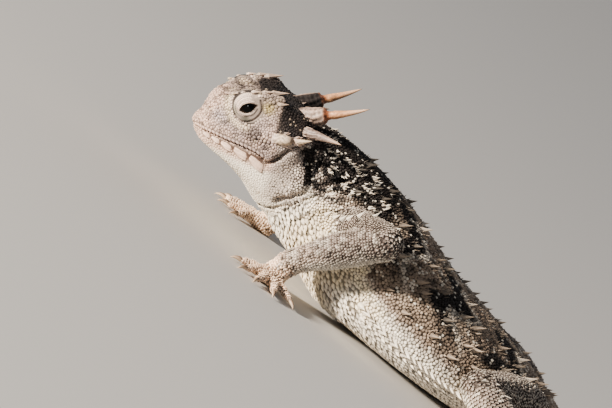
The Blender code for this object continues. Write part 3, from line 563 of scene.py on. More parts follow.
for reach, lid_reach in ((0.9, 2.8), (0.42, 2.2)):
    middles = np.empty(len(skin.data.polygons) * 3, np.float32)
    skin.data.polygons.foreach_get("center", middles)
    middles = middles.reshape(-1, 3).astype(float) / MM - SNOUT_TO_ROW
    near = middles[:, 0] < 30
    chosen = np.zeros(len(middles), bool)
    chosen[near] = distances(middles[near], fine_marks) < reach
    chosen |= distances(middles, lid_marks) < lid_reach
    bpy.ops.object.select_all(action="DESELECT")
    skin.select_set(True)
    bpy.context.view_layer.objects.active = skin
    bpy.ops.object.mode_set(mode="EDIT")
    bpy.ops.mesh.select_mode(type="FACE")
    bpy.ops.mesh.select_all(action="DESELECT")
    bpy.ops.object.mode_set(mode="OBJECT")
    skin.data.polygons.foreach_set("select", chosen)
    bpy.ops.object.mode_set(mode="EDIT")
    bpy.ops.mesh.subdivide(number_cuts=1)
    bpy.ops.object.mode_set(mode="OBJECT")


def normals_of(piece):
    flat = np.empty(len(piece.data.vertices) * 3, np.float32)
    piece.data.vertex_normals.foreach_get("vector", flat)
    return flat.reshape(-1, 3).astype(float)


skin_places = places_of(skin)
skin_places = softened(skin_places, edges_of(skin), np.full(len(skin_places), 0.3), 3)
set_places(skin, skin_places)
skin_normals = normals_of(skin)
front = skin_places[:, 0] < 32
for back, out, up, reach, height in HEAD_BUMPS:
    for side in (SIDES.values() if out else (1,)):
        rise = nearness(skin_places, on_head((back, side * out, up)), reach) * height
        skin_places += skin_normals * rise[:, None]
for line, depth, width in creases:
    away = np.full(len(skin_places), 9.0)
    away[front] = distances(skin_places[front], line)
    skin_places -= skin_normals * (depth * np.exp(-((away / width) ** 2)))[:, None]
for middle in nostril_marks:
    pit = np.exp(-((np.linalg.norm(skin_places - middle, axis=1) / 0.32) ** 2)) * 0.6
    skin_places -= skin_normals * pit[:, None]


def slit_share(place):
    """How open the lids are along the slit, from -1 in front, where it is round, to 1 behind."""
    power = np.where(place < 0, 3.2, 1.7)
    return np.clip(1 - np.abs(place) ** power, 1e-4, 1)


def in_slit(places, side, grow=0.0):
    """Below 1 inside the opening between the lids, which is pointed at both ends."""
    level = to_level(places)
    back, up = level[:, 0] - SLIT_CENTRE[0], level[:, 2] - SLIT_CENTRE[1]
    length = back * math.cos(SLIT_TILT) + up * math.sin(SLIT_TILT)
    height = up * math.cos(SLIT_TILT) - back * math.sin(SLIT_TILT)
    limit = (SLIT_HEIGHT + grow) * slit_share(length / (SLIT_LENGTH + grow))
    far = (level[:, 1] * side < EYE[1] + 0.6) | (level[:, 0] > 10)
    return np.where(far, 9.0, np.abs(height) / limit)


for side, middle in zip(SIDES.values(), eye_middles):
    depth = np.clip(1.12 - in_slit(skin_places, side), 0, 0.24) / 0.24
    away = skin_places - middle
    length = np.linalg.norm(away, axis=1)
    inner = middle + away / np.maximum(length, 1e-6)[:, None] * EYE_SOCKET
    skin_places += (inner - skin_places) * depth[:, None]
    rim = np.exp(-(((in_slit(skin_places, side) - 1.35) / 0.3) ** 2)) * 0.12
    skin_places += away / np.maximum(length, 1e-6)[:, None] * rim[:, None]
set_places(skin, skin_places)
print("skin", len(skin.data.vertices), "points", len(skin.data.polygons), "faces")

# Markings. A desert horned lizard is the colour of the sand and gravel that it lives on: cream
# below, mauve grey on the cheeks and limbs, brown above with dark blotches behind the head and
# wavy dark bars across the back and tail. Skin and scales are tinted by this one rule.
# The tint also holds painted shade: black in the folds and wrinkles of the neck, in the crease about each
# lid, between and behind the brows, and over the nape and shoulders.
CREAM, CHEST = (0.86, 0.78, 0.66), (0.84, 0.71, 0.50)
CHEEK, SNOUT, CROWN = (0.45, 0.35, 0.31), (0.62, 0.45, 0.36), (0.28, 0.22, 0.185)
LID, LID_SHADE, TEMPLE = (0.68, 0.55, 0.47), (0.17, 0.17, 0.13), (0.44, 0.35, 0.12)
CHEEK_DARK, LORE = (0.19, 0.15, 0.135), (0.40, 0.34, 0.34)
SHIELD, NECK, BLACK = (0.66, 0.49, 0.39), (0.52, 0.44, 0.38), (0.012, 0.0105, 0.011)
SEAM = (0.17, 0.10, 0.075)  # the brown skin between the chin plates
BACK, BAR_EDGE, MIDLINE = (0.27, 0.205, 0.155), (0.50, 0.40, 0.30), (0.40, 0.31, 0.23)
UPPER_LIMB, LIMB = (0.25, 0.195, 0.165), (0.46, 0.355, 0.285)
LIMB_SPOT, PAW = (0.08, 0.06, 0.05), (0.95, 0.69, 0.50)
FAN = (19.6, 13.6)  # s and z of the place behind the jaw that the wrinkles of the neck run from
WEDGE = ((16.0, 19.0), (19.5, 14.5))  # s and z of the ends of the black wedge behind the jaw
BACK_BARS = (36.0, 48.0, 60.5)
TAIL_BARS = (79.0, 86.5, 94.0, 101.0, 107.5)


def smooth_step(low, high, value):
    share = np.clip((value - low) / (high - low), 0, 1)
    return share * share * (3 - 2 * share)


def mottle(places, size, seed):
    """Soft random patches about as wide as size, from 0 to 1."""
    table = np.random.default_rng(seed).random((16, 16, 16))
    place = places / size + 100.0
    low = np.floor(place).astype(int)
    part = place - low
    part = part * part * (3 - 2 * part)
    value = np.zeros(len(places))
    for corner in range(8):
        step = np.array((corner & 1, corner >> 1 & 1, corner >> 2 & 1))
        weight = np.prod(np.where(step, part, 1 - part), axis=1)
        index = (low + step) % 16
        value += weight * table[index[:, 0], index[:, 1], index[:, 2]]
    return value


def tinted(colours, tint, weight):
    weight = np.clip(weight, 0, 1)[:, None]
    return colours * (1 - weight) + np.array(tint) * weight


def head_colours(places):
    level = to_level(places)
    back, out, up = level[:, 0], np.abs(level[:, 1]), level[:, 2]
    colours = np.tile(CHEEK, (len(places), 1))
    patches, broad = mottle(places, 1.3, 3), mottle(places, 2.6, 4)
    colours = tinted(colours, SNOUT, smooth_step(5.0, 1.2, back) * 0.9)
    colours = tinted(colours, SNOUT, smooth_step(0.5, 0.75, patches) * 0.5)
    lore = np.exp(-(((back - 2.4) / 1.6) ** 2) - ((up - 4.0) / 1.3) ** 2)
    colours = tinted(colours, LORE, lore * smooth_step(0.3, 0.6, broad) * 0.8)
    colours = tinted(colours, CHEEK_DARK, smooth_step(0.62, 0.78, mottle(places, 0.45, 15)) * 0.55)
    colours = tinted(colours, CHEEK_DARK, smooth_step(0.5, 0.3, broad) * smooth_step(1.0, 4.0, back) * 0.8)
    crown = smooth_step(7.6, 8.8, up + 0.18 * (5 - out)) * smooth_step(1.5, 3.0, back)
    colours = tinted(colours, CROWN, crown * 0.75)
    for line in (2.2, 4.6, 10.6):
        wave = line + 0.5 * np.sin(out * 2.0)
        dark = np.exp(-(((back - wave) / 0.42) ** 2)) * smooth_step(5.6, 7.2, up)
        colours = tinted(colours, BLACK, dark * 0.7)
    colours = tinted(colours, BAR_EDGE, crown * smooth_step(0.55, 0.8, patches) * 0.8)
    colours = tinted(colours, BLACK, smooth_step(0.6, 0.75, mottle(places, 0.6, 5)) * 0.5)
    # Painted shade: the crown between the brows and the head behind them are painted black where the brows
    # and horns shade them; behind the head this runs into the real dark neck blotch.
    shade_between_brows = smooth_step(6.4, 7.6, back + (patches - 0.5) * 3) * smooth_step(5.6, 4.9, out)
    shade_between_brows *= smooth_step(8.2, 9.0, up)
    rear = smooth_step(10.2, 11.2, back) * smooth_step(4.4, 5.8, up + (broad - 0.5) * 1.5)
    colours = tinted(colours, BLACK, np.maximum(rear, shade_between_brows) * 0.94)
    from_eye = np.hypot(back - EYE[0], up - EYE[2])
    beside = smooth_step(3.4, 4.4, out)
    ring = np.exp(-(((from_eye - 2.9) / 0.6) ** 2)) * smooth_step(7.4, 6.2, back)
    colours = tinted(colours, CHEST, ring * beside * 0.55)
    colours = tinted(colours, LID, smooth_step(2.7, 2.5, from_eye) * beside)
    # Painted shade: a thin black line along the round crease about each lid.
    lid_crease_shade = np.exp(-(((from_eye - LID_CREASE) / 0.14) ** 2)) * beside * smooth_step(9.0, 8.4, up)
    colours = tinted(colours, BLACK, lid_crease_shade * (0.3 + 0.6 * smooth_step(0.35, 0.6, patches)))
    below = smooth_step(-0.9, -1.5, (up - EYE[2]) + 0.35 * (back - EYE[0]))
    crescent = below * smooth_step(2.3, 2.0, from_eye) * beside
    colours = tinted(colours, LID_SHADE, crescent * smooth_step(4.5, 5.9, back) * 0.75)
    temple = np.exp(-(((back - 8.7) / 1.0) ** 2) - ((up - 8.0) / 0.9) ** 2) * smooth_step(5.4, 6.2, out)
    colours = tinted(colours, TEMPLE, temple * 0.75)
    lip = smooth_step(0.95, 0.6, up)
    colours = tinted(colours, SHIELD, lip * smooth_step(12.6, 11.2, back))
    colours = tinted(colours, CREAM, smooth_step(-0.6, -1.8, up))
    between_plates = smooth_step(0.05, 0.3, up + 0.07 * back) * smooth_step(0.7, 0.5, up)
    between_plates *= smooth_step(1.4, 2.0, back) * smooth_step(10.7, 10.3, back)
    colours = tinted(colours, SEAM, between_plates * 0.85)
    behind = smooth_step(11.4, 13.0, back) * smooth_step(-6.5, -4.0, up)
    return tinted(colours, NECK, behind * smooth_step(5.0, 4.0, up) * 0.8)


def trunk_colours(places):
    s, out, z = places[:, 0], np.abs(places[:, 1] - along(SWAY, places[:, 0])), places[:, 2]
    wide, flank = along(HALF_WIDTH, s), along(FLANK_LEVEL, s)
    share = out / wide
    fine, broad = mottle(places, 1.1, 7), mottle(places, 3.4, 8)
    colours = np.tile(BACK, (len(places), 1))
    colours = tinted(colours, BAR_EDGE, smooth_step(0.45, 0.85, fine) * 0.5)
    colours = tinted(colours, MIDLINE, smooth_step(0.14, 0.05, share) * smooth_step(28, 38, s) * 0.8)
    colours = tinted(colours, NECK, smooth_step(28, 20, s) * smooth_step(20, 16, z) * 0.8)
    dark = np.zeros(len(places))
    for bar in BACK_BARS:
        front = bar + 1.6 * np.cos(out * 0.75) + (broad - 0.5) * 3.0
        inside = smooth_step(0.08, 0.2, share) * smooth_step(0.98, 0.75, share)
        bar_weight = smooth_step(2.6, 1.7, np.abs(s - front)) * inside
        dark = np.maximum(dark, bar_weight)
        edge = np.exp(-(((s - front - 3.1) / 0.8) ** 2)) * inside
        colours = tinted(colours, CREAM, edge * 0.6)
    for bar in TAIL_BARS:
        front = bar + (broad - 0.5) * 1.5
        dark = np.maximum(dark, smooth_step(2.0, 1.3, np.abs(s - front)))
    # The dark blotch behind the head is real, but here it is drawn over the whole nape and shoulders as
    # painted shadow.
    blotch_and_shade = smooth_step(14.8, 16.5, s) * smooth_step(37.0, 31.0, s)
    blotch_and_shade *= smooth_step(15.4, 17.4, z + (broad - 0.5) * 3)
    dark = np.maximum(dark, blotch_and_shade)
    colours = tinted(colours, BLACK, dark * 0.94)
    colours = tinted(colours, BLACK, smooth_step(0.6, 0.8, mottle(places, 0.9, 9)) * 0.6)
    side_line = np.where(s < 34, 13.6, flank + 0.6) + (fine - 0.5) * 1.2
    side_line = np.where(s < 34, side_line - smooth_step(24, 34, s) * 3.0, side_line)
    pale = smooth_step(side_line + 1.4, side_line - 0.6, z)
    colours = tinted(colours, NECK, smooth_step(2.4, 0.0, z - side_line) * (1 - pale) * 0.6)
    colours = tinted(colours, CREAM, pale)
    chest = smooth_step(18, 21, s) * smooth_step(44, 36, s)
    colours = tinted(colours, CHEST, pale * chest * 0.7 * smooth_step(0.3, 0.7, broad))
    return tinted(colours, NECK, pale * smooth_step(0.6, 0.8, fine) * 0.4)


def limb_colours(places, normals):
    broad = mottle(places, 2.6, 12)
    colours = np.tile(LIMB, (len(places), 1))
    colours = tinted(colours, UPPER_LIMB, smooth_step(5.5, 9.5, places[:, 2] + (broad - 0.5) * 3))
    colours = tinted(colours, CREAM, smooth_step(0.5, 0.8, mottle(places, 0.8, 11)) * 0.4)
    colours = tinted(colours, LIMB_SPOT, smooth_step(0.55, 0.68, mottle(places, 0.5, 10)) * 0.75)
    colours = tinted(colours, LIMB_SPOT, smooth_step(0.62, 0.8, broad) * 0.35)
    return tinted(colours, CREAM, smooth_step(-0.25, -0.75, normals[:, 2]) * 0.85)


def paw_colours(places, normals):
    colours = np.tile(PAW, (len(places), 1))
    colours = tinted(colours, LIMB, smooth_step(0.55, 0.8, mottle(places, 0.9, 13)) * 0.5)
    return tinted(colours, LIMB, smooth_step(3.0, 5.0, places[:, 2]) * 0.7)


sheet_marks = np.concatenate([sheet["points"].reshape(-1, 3) for sheet in sheets])
sheet_index = np.concatenate([
    np.full(sheet["points"][..., 0].size, n) for n, sheet in enumerate(sheets)])
mark_index = np.concatenate([np.arange(sheet["points"][..., 0].size) for sheet in sheets])
sheet_tree = KDTree(len(sheet_marks))
for n, mark in enumerate(sheet_marks.tolist()):
    sheet_tree.insert(mark, n)
sheet_tree.balance()
sheet_kinds = np.array([sheet["name"].split("_")[0] for sheet in sheets])


def nearest_marks(places):
    return np.array([sheet_tree.find(place)[1] for place in places.tolist()], int)


def skin_colours(places, normals, marks):
    """The tint at each place, of the part of the flesh that its nearest mark is on."""
    kinds = sheet_kinds[sheet_index[marks]]
    colours = trunk_colours(places)
    on_limb = (kinds == "arm") | (kinds == "leg")
    on_paw = (kinds == "hand") | (kinds == "foot")
    head_share = smooth_step(19.5, 15.5, to_level(places)[:, 0])
    head_share *= ~(on_limb | on_paw) * (places[:, 0] < 24)
    colours = colours + (head_colours(places) - colours) * head_share[:, None]
    # Painted shade: black streaks fanning back from behind the jaw stand for the shade in the wrinkles of the
    # neck.
    s, z = places[:, 0] - FAN[0], places[:, 2] - FAN[1]
    turn, reach = np.arctan2(z, s), np.hypot(s, z)
    wrinkle_shade = smooth_step(0.0, 0.6, np.sin(turn * 17 + 3 * mottle(places, 1.6, 14)))
    wrinkle_shade *= smooth_step(0.3, 1.2, reach) * smooth_step(7.5, 4.5, reach) * smooth_step(0.1, 0.5, turn)
    wrinkle_shade *= smooth_step(2.3, 1.9, turn) * (np.abs(places[:, 1]) > 5)
    colours = tinted(colours, BLACK, wrinkle_shade * 0.93)
    # Painted shade: a black wedge in the deep fold of the neck behind the jaw, under the horns.
    (first_s, first_z), (last_s, last_z) = WEDGE
    wedge_length = math.hypot(last_s - first_s, last_z - first_z)
    wedge_s, wedge_z = (last_s - first_s) / wedge_length, (last_z - first_z) / wedge_length
    s, z = places[:, 0] - first_s, places[:, 2] - first_z
    along_it, beside_it = s * wedge_s + z * wedge_z, np.abs(s * wedge_z - z * wedge_s)
    wedge_shade = smooth_step(1.25, 0.75, beside_it + (mottle(places, 0.7, 27) - 0.5) * 1.1)
    wedge_shade *= smooth_step(-0.6, 0.2, along_it) * smooth_step(wedge_length + 0.6, wedge_length - 0.6, along_it)
    colours = tinted(colours, BLACK, wedge_shade * (np.abs(places[:, 1]) > 5) * 0.93)
    colours[on_limb] = limb_colours(places[on_limb], normals[on_limb])
    colours[on_paw] = paw_colours(places[on_paw], normals[on_paw])
    return colours


def paint(piece, colours):
    """Keeps a linear colour for each of the piece's points."""
    layer = piece.data.attributes.new("colour", "FLOAT_COLOR", "POINT")
    values = np.ones((len(colours), 4), np.float32)
    values[:, :3] = np.clip(colours, 0, 1)
    layer.data.foreach_set("color", values.ravel())


def finish(name, roughness, specular, grain, grain_depth, relief):
    """A finish in the colours that a piece keeps, with a fine grain in tint, gloss and relief."""
    made = bpy.data.materials.new(name)
    made.use_nodes = True
    tree = made.node_tree
    shader = tree.nodes["Principled BSDF"]
    shader.inputs["Specular IOR Level"].default_value = specular
    colour = tree.nodes.new("ShaderNodeAttribute")
    colour.attribute_name = "colour"
    place = tree.nodes.new("ShaderNodeTexCoord")
    noise = tree.nodes.new("ShaderNodeTexNoise")
    noise.inputs["Scale"].default_value = 1 / (grain * MM)
    noise.inputs["Detail"].default_value = 3.0
    levels = tree.nodes.new("ShaderNodeMapRange")
    levels.inputs["To Min"].default_value = 1 - grain_depth
    levels.inputs["To Max"].default_value = 1 + grain_depth
    gloss = tree.nodes.new("ShaderNodeMapRange")
    gloss.inputs["To Min"].default_value = roughness * 1.2
    gloss.inputs["To Max"].default_value = roughness * 0.8
    bump = tree.nodes.new("ShaderNodeBump")
    bump.inputs["Strength"].default_value = relief
    bump.inputs["Distance"].default_value = 0.05 * MM
    mixed = tree.nodes.new("ShaderNodeVectorMath")
    mixed.operation = "SCALE"
    tree.links.new(place.outputs["Object"], noise.inputs["Vector"])
    tree.links.new(noise.outputs["Fac"], levels.inputs["Value"])
    tree.links.new(noise.outputs["Fac"], gloss.inputs["Value"])
    tree.links.new(noise.outputs["Fac"], bump.inputs["Height"])
    tree.links.new(gloss.outputs["Result"], shader.inputs["Roughness"])
    tree.links.new(bump.outputs["Normal"], shader.inputs["Normal"])
    tree.links.new(colour.outputs["Color"], mixed.inputs[0])
    tree.links.new(levels.outputs["Result"], mixed.inputs["Scale"])
    tree.links.new(mixed.outputs["Vector"], shader.inputs["Base Color"])
    return made


def crease_shade(places):
    """The share of its tint that a place keeps; the folds are darkened as painted shade."""
    shade = np.ones(len(places))
    ahead = places[:, 0] < 32
    for line, depth, width in creases:
        away = distances(places[ahead], line)
        shade[ahead] *= 1 - 0.95 * np.exp(-((away / width) ** 2))
    return shade


skin_normals = normals_of(skin)
skin_marks = nearest_marks(skin_places)
# Painted shade: the skin between the scales is darkened, less on the head and least under the throat, darker
# still in the folds, and nearly black inside each eye slit.
under = smooth_step(0.5, -1.5, to_level(skin_places)[:, 2])
gap_shade = np.where(sheet_kinds[sheet_index[skin_marks]] == "head", 0.42 + 0.3 * under, 0.3)
gap_shade *= crease_shade(skin_places)
for side in SIDES.values():
    gap_shade[in_slit(skin_places, side) < 1.05] = 0.05
paint(skin, skin_colours(skin_places, skin_normals, skin_marks) * gap_shade[:, None])
skin.data.materials.append(finish("scaly skin", 0.7, 0.2, 0.35, 0.25, 0.6))
skin.data.shade_smooth()
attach(skin, "root")
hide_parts(*[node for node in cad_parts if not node.startswith(("eye_", "horn_"))])

# Spines. Enlarged pointed scales, horny and hollow on the real animal, stand in rows on the
# back, in a fringe along each flank and down the tail, and in pale tufts on the shoulders. Each
# large one rises from a ring of small ones.
SPINE_LEAN = 0.9
BACK_ROWS = (  # degrees from the ridge, first s, last s, spacing, length
    (13, 24, 74, 4.2, 1.75), (32, 22, 72, 4.0, 1.85), (52, 24, 68, 4.0, 1.8),
    (71, 35, 62, 4.0, 1.6), (23, 79, 107, 3.1, 1.1), (60, 79, 106, 3.3, 1.1),
)
FRINGES = ((37.0, 72.0, 1.25, 1.7, 97), (38.5, 66.0, 1.5, 1.1, 106), (76.5, 109.0, 1.35, 1.25, 97))
TUFTS = (  # s, out, z of the pale tufts on the shoulders
    (19.5, 6.4, 20.5), (20.6, 8.2, 18.9), (22.2, 6.0, 21.4), (23.0, 8.8, 18.6), (24.6, 6.4, 20.9),
    (25.4, 9.2, 18.0), (26.8, 7.6, 19.6), (28.8, 9.8, 17.8), (30.6, 8.0, 19.0), (22.4, 9.9, 15.8),
    (26.6, 11.3, 15.6), (33.4, 11.0, 16.4), (18.2, 3.2, 21.8), (27.6, 4.4, 21.2),
)
draw = random.Random(11)


def shape_of_selected():
    """Takes the active object away and keeps its points and triangles."""
    piece = bpy.context.object
    bpy.ops.object.mode_set(mode="EDIT")
    bpy.ops.mesh.select_all(action="SELECT")
    bpy.ops.mesh.quads_convert_to_tris()
    bpy.ops.mesh.normals_make_consistent(inside=False)
    bpy.ops.object.mode_set(mode="OBJECT")
    points = np.array([vertex.co[:] for vertex in piece.data.vertices])
    faces = np.array([face.vertices[:] for face in piece.data.polygons])
    bpy.data.objects.remove(piece)
    return points, faces


bpy.ops.object.select_all(action="DESELECT")
bpy.ops.mesh.primitive_cone_add(vertices=7, radius1=1, radius2=0, depth=1, location=(0, 0, 0.5))
bpy.ops.object.transform_apply(location=True)
bpy.ops.object.mode_set(mode="EDIT")
for height in (0.22, 0.62):
    bpy.ops.mesh.select_all(action="SELECT")
    bpy.ops.mesh.bisect(plane_co=(0, 0, height), plane_no=(0, 0, 1))
bpy.ops.object.mode_set(mode="OBJECT")
SPINE_SHAPE, SPINE_FACES = shape_of_selected()
rise = SPINE_SHAPE[:, 2]
SPINE_SHAPE[:, :2] *= np.where((rise > 0.5) & (rise < 0.9), 0.72, 1.0)[:, None]
SPINE_SHAPE[:, :2] *= np.where((rise > 0.1) & (rise < 0.5), 0.86, 1.0)[:, None]


def patch_of(shape, faces, across=0.003):
    """Where each corner of a scale's faces lies in the scale's own patch of a flat layout."""
    flat = shape[:, :2] / np.abs(shape[:, :2]).max() * across / 2
    corners = flat[faces]
    one, other = shape[faces[:, 1]] - shape[faces[:, 0]], shape[faces[:, 2]] - shape[faces[:, 0]]
    corners[np.cross(one, other)[:, 2] < -1e-6] = 0
    return corners


SPINE_PATCH = patch_of(SPINE_SHAPE, SPINE_FACES)
LYING_SHAPE = SPINE_SHAPE.copy()  # a narrow foot, so that it can lie in the skin
LYING_SHAPE[rise < 0.1, :2] *= 0.3


def placed(shape, at, way, across, length, radius):
    """The shape stood at a place, its own z along way."""
    way = unit(np.asarray(way, float))
    side = unit(np.cross(way, across))
    other = np.cross(way, side)
    return (at + shape[:, :1] * side * radius + shape[:, 1:2] * other * radius
            + shape[:, 2:] * way * length)


class Growths:
    """Scales or spines that are gathered to be joined as one piece."""

    def __init__(self, name, slot):
        self.name, self.slot = name, slot
        self.points, self.faces, self.colours, self.layout = [], [], [], []
        self.count = 0

    def add(self, points, faces, colours, roots, patch):
        """Like scales: points and colours of each, the roots' places in the layout, one patch."""
        pieces, size = points.shape[:2]
        first = self.count + np.arange(pieces)[:, None, None] * size
        self.points.append(points.reshape(-1, 3))
        self.faces.append((faces[None] + first).reshape(-1, 3))
        self.colours.append(colours.reshape(-1, 3))
        self.layout.append((roots[:, None, None, :] + patch[None]).reshape(-1, 2))
        self.count += pieces * size


def grown(growths, material):
    """Joins what has been gathered into one piece that rides with the animal."""
    points = np.concatenate(growths.points)
    points[:, 2] = np.maximum(points[:, 2], 0.004)
    faces = np.concatenate(growths.faces)
    mesh = bpy.data.meshes.new(growths.name)
    mesh.vertices.add(len(points))
    mesh.vertices.foreach_set("co", to_row(points).astype(np.float32).ravel())
    mesh.loops.add(faces.size)
    mesh.loops.foreach_set("vertex_index", faces.astype(np.int32).ravel())
    mesh.polygons.add(len(faces))
    mesh.polygons.foreach_set("loop_start", np.arange(0, faces.size, 3, dtype=np.int32))
    mesh.update(calc_edges=True)
    layout = mesh.uv_layers.new(name="OFBake")
    layout.data.foreach_set("uv", np.concatenate(growths.layout).astype(np.float32).ravel())
    piece = bpy.data.objects.new(growths.name, mesh)
    bpy.context.collection.objects.link(piece)
    paint(piece, np.concatenate(growths.colours))
    mesh.materials.append(material)
    mesh.shade_flat()
    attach(piece, "root")
    print(growths.name, len(faces), "triangles")
    return piece


def roots_of(places, marks):
    """Where places lie in the flat layout of the part of the flesh that they are on."""
    roots = np.zeros((len(places), 2))
    for n, (place, mark) in enumerate(zip(places, marks)):
        sheet = sheets[sheet_index[mark]]
        rings, sides = sheet["points"].shape[:2]
        i, j = divmod(mark_index[mark], sides)
        back, around = sheet["back"][i, j], sheet["around"][i, j] / 2
        away = place - sheet["points"][i, j]
        near, far = sheet["points"][max(i - 1, 0), j], sheet["points"][min(i + 1, rings - 1), j]
        step = max(np.linalg.norm(far - near) / 2, 0.05)
        i_part = min(max(away @ back / step, -0.5), 0.5)
        j_part = min(max(away @ around / max(around @ around, 1e-4), -0.5), 0.5)
        u, v, wide, tall = sheet["cell"]
        roots[n] = (u + (0.01 + 0.98 * (j + 0.5 + j_part) / sides) * wide,
                    v + (0.01 + 0.98 * (i + 0.5 + i_part) / rings) * tall)
    return roots


surface = surface_of(skin)
scaly = finish("scales", 0.6, 0.25, 0.3, 0.2, 0.5)
spines = {"head": Growths("spines_head", "skin"), "trunk": Growths("spines_trunk", "skin")}
taken = []  # places and radii that the small scales keep off


def settle(place, reach=1.2):
    found, normal, _, distance = surface.find_nearest(tuple(place))
    return (np.array(found), np.array(normal)) if distance < reach else (None, None)


def near_limb(place):
    kind = sheet_kinds[sheet_index[sheet_tree.find(place)[1]]]
    return kind not in ("trunk", "head")


def add_spine(at, way, length, radius, pale, colour=None, shape=SPINE_SHAPE):
    root = at - unit(way) * 0.18
    mark = sheet_tree.find(at)[1]
    base = skin_colours(at[None], np.array(((0, 0, 1.0),)), np.array((mark,)))
    base = tinted(base, CREAM, np.array((pale**2 * 0.6,)))[0]
    sandy = 0.1 + 0.4 * float(smooth_step(30, 40, at[0]))
    horny_tip = CREAM if pale > 0.6 else base * 0.4 + np.array(BAR_EDGE) * sandy
    tip = np.array(colour if colour is not None else horny_tip) * draw.uniform(0.8, 1.1)
    share = np.clip(SPINE_SHAPE[:, 2:], 0, 1)
    shade = base * 0.9 * (1 - share) + tip * share
    points = placed(shape, root, way, (0.3, 0.1, 1.0), length + 0.18, radius)
    part = "head" if sheet_kinds[sheet_index[mark]] == "head" else "trunk"
    roots = roots_of(at[None], (mark,))
    spines[part].add(points[None], SPINE_FACES, shade[None], roots, SPINE_PATCH)


def add_rosette(at, normal, lean, length, radius, small, pale=0.3):
    """A spine in a ring of small ones."""
    add_spine(at, normal + lean, length, radius, pale)
    taken.append((at, radius * 1.05))
    side = unit(np.cross(normal, (0.2, 0.9, 0.4)))
    other = np.cross(normal, side)
    start = draw.uniform(0, math.pi)
    for n in range(small):
        turn = start + n * 2 * math.pi / small + draw.uniform(-0.25, 0.25)
        outward = side * math.cos(turn) + other * math.sin(turn)
        near, away = settle(at + outward * radius * draw.uniform(1.3, 1.55))
        if near is None:
            continue
        size = draw.uniform(0.75, 1.2)
        add_spine(near, away + lean * 0.5 + outward * 0.35, length * 0.42 * size,
                  radius * 0.4 * size, pale)
        taken.append((near, radius * 0.38))


for angle, first, last, spacing, length in BACK_ROWS:
    for side in SIDES.values():
        for step in np.arange(first, last, spacing):
            s = step + draw.uniform(-0.35, 0.35) * spacing
            turn = math.radians(side * (angle + draw.uniform(-5, 5)))
            size = draw.uniform(0.72, 1.12)
            at, normal = settle(trunk_point(s, turn))
            if at is None or near_limb(at):
                continue
            lean = np.array((1.0, side * 0.12, 0.1)) * SPINE_LEAN
            add_rosette(at, normal, lean, length * size, 0.58 * size * length / 1.7, 6)
for first, last, spacing, length, angle in FRINGES:
    for side in SIDES.values():
        for s in np.arange(first, last, spacing):
            at, normal = settle(trunk_point(s, math.radians(side * angle)))
            if at is None or near_limb(at):
                continue
            fade = 1 - 0.45 * float(smooth_step(88, 110, s))
            way = normal * 0.4 + (0.6, side * 0.95, 0.12)
            size = length * draw.uniform(0.85, 1.1) * fade
            add_spine(at, way, size, 0.36 * size + 0.05, 1.0)
            taken.append((at, 0.4))
for s, out, z in TUFTS:
    for side in SIDES.values():
        for n in range(13):
            spot = np.array((s, side * out, z)) + [draw.gauss(0, 0.5) for _ in range(3)]
            at, normal = settle(spot, 3.0)
            if at is None or near_limb(at):
                continue
            size = draw.uniform(0.4, 0.85)
            way = normal + (0.6, side * 0.1, 0.0)
            add_spine(at, way, size, 0.18 + 0.16 * size, 1.0, CREAM if n % 4 else BAR_EDGE)
            taken.append((at, 0.2))
for sheet in sheets:
    kind = sheet["name"].split("_")[0]
    if kind not in ("arm", "leg"):
        continue
    points = sheet["points"]
    middles = points.mean(axis=1)
    steps = np.linalg.norm(np.diff(middles, axis=0), axis=1)
    lengths = np.concatenate(((0,), np.cumsum(steps)))
    for way, spacing, length in (
        ((0.62, 0, -0.7), 0.74, 0.8), ((0.2, 0, 1.0), 2.4, 0.8), ((0.9, 0, 0.5), 1.9, 0.9),
    ):
        for reach in np.arange(0.6, lengths[-1] - 0.6, spacing):
            i = min(int(np.searchsorted(lengths, reach + draw.uniform(-0.1, 0.1) * spacing)), len(points) - 2)
            j = int(np.argmax((points[i] - middles[i]) @ np.array(way)))
            at, normal = settle(points[i, j])
            if at is None or sheet_index[sheet_tree.find(at)[1]] != sheets.index(sheet):
                continue
            size = length * draw.uniform(0.75, 1.2)
            add_spine(at, normal * 0.7 + sheet["back"][i, j] * 0.8, size, 0.14 + 0.24 * size, 0.9)
            taken.append((at, 0.16))

# Brow, shoulder and collar scales. A row of stout pointed scales overhangs each eye, a short row
# of pale triangular ones edges the shoulder, and small pointed ones collar the foot of each horn.
BROWS = (  # back, out, up of the tip, length, radius
    (3.9, 4.9, 8.3, 1.0, 0.32), (5.3, 5.5, 9.1, 1.2, 0.36), (7.0, 5.9, 9.9, 1.5, 0.44),
    (9.0, 5.9, 10.5, 2.0, 0.56), (11.1, 5.7, 11.0, 3.0, 0.8), (11.4, 7.5, 9.7, 1.6, 0.5),
)
BROW_WAY = (1.0, 0.12, 0.4)
BROW = (0.58, 0.42, 0.31)
SHOULDER_ROW = (
    (24.0, 10.6, 12.9), (25.1, 11.2, 13.4), (26.2, 11.8, 14.0), (27.4, 12.4, 14.7),
    (28.7, 13.0, 15.4), (30.0, 13.4, 16.2),
)
OCCIPITAL_HORN = ((14.2, 3.9, 7.8), (23.4, 6.5, 12.8), 1.5, -0.35)  # root, tip, radius, bow
TEMPORAL_HORNS = (
    ((11.0, 7.9, 4.1), (13.4, 9.8, 5.0), 0.9, -0.1),
    ((13.6, 8.4, 4.6), (16.1, 10.9, 6.2), 0.54, -0.1),
    ((15.1, 7.1, 6.3), (20.5, 11.2, 7.1), 0.8, 0.1),
)
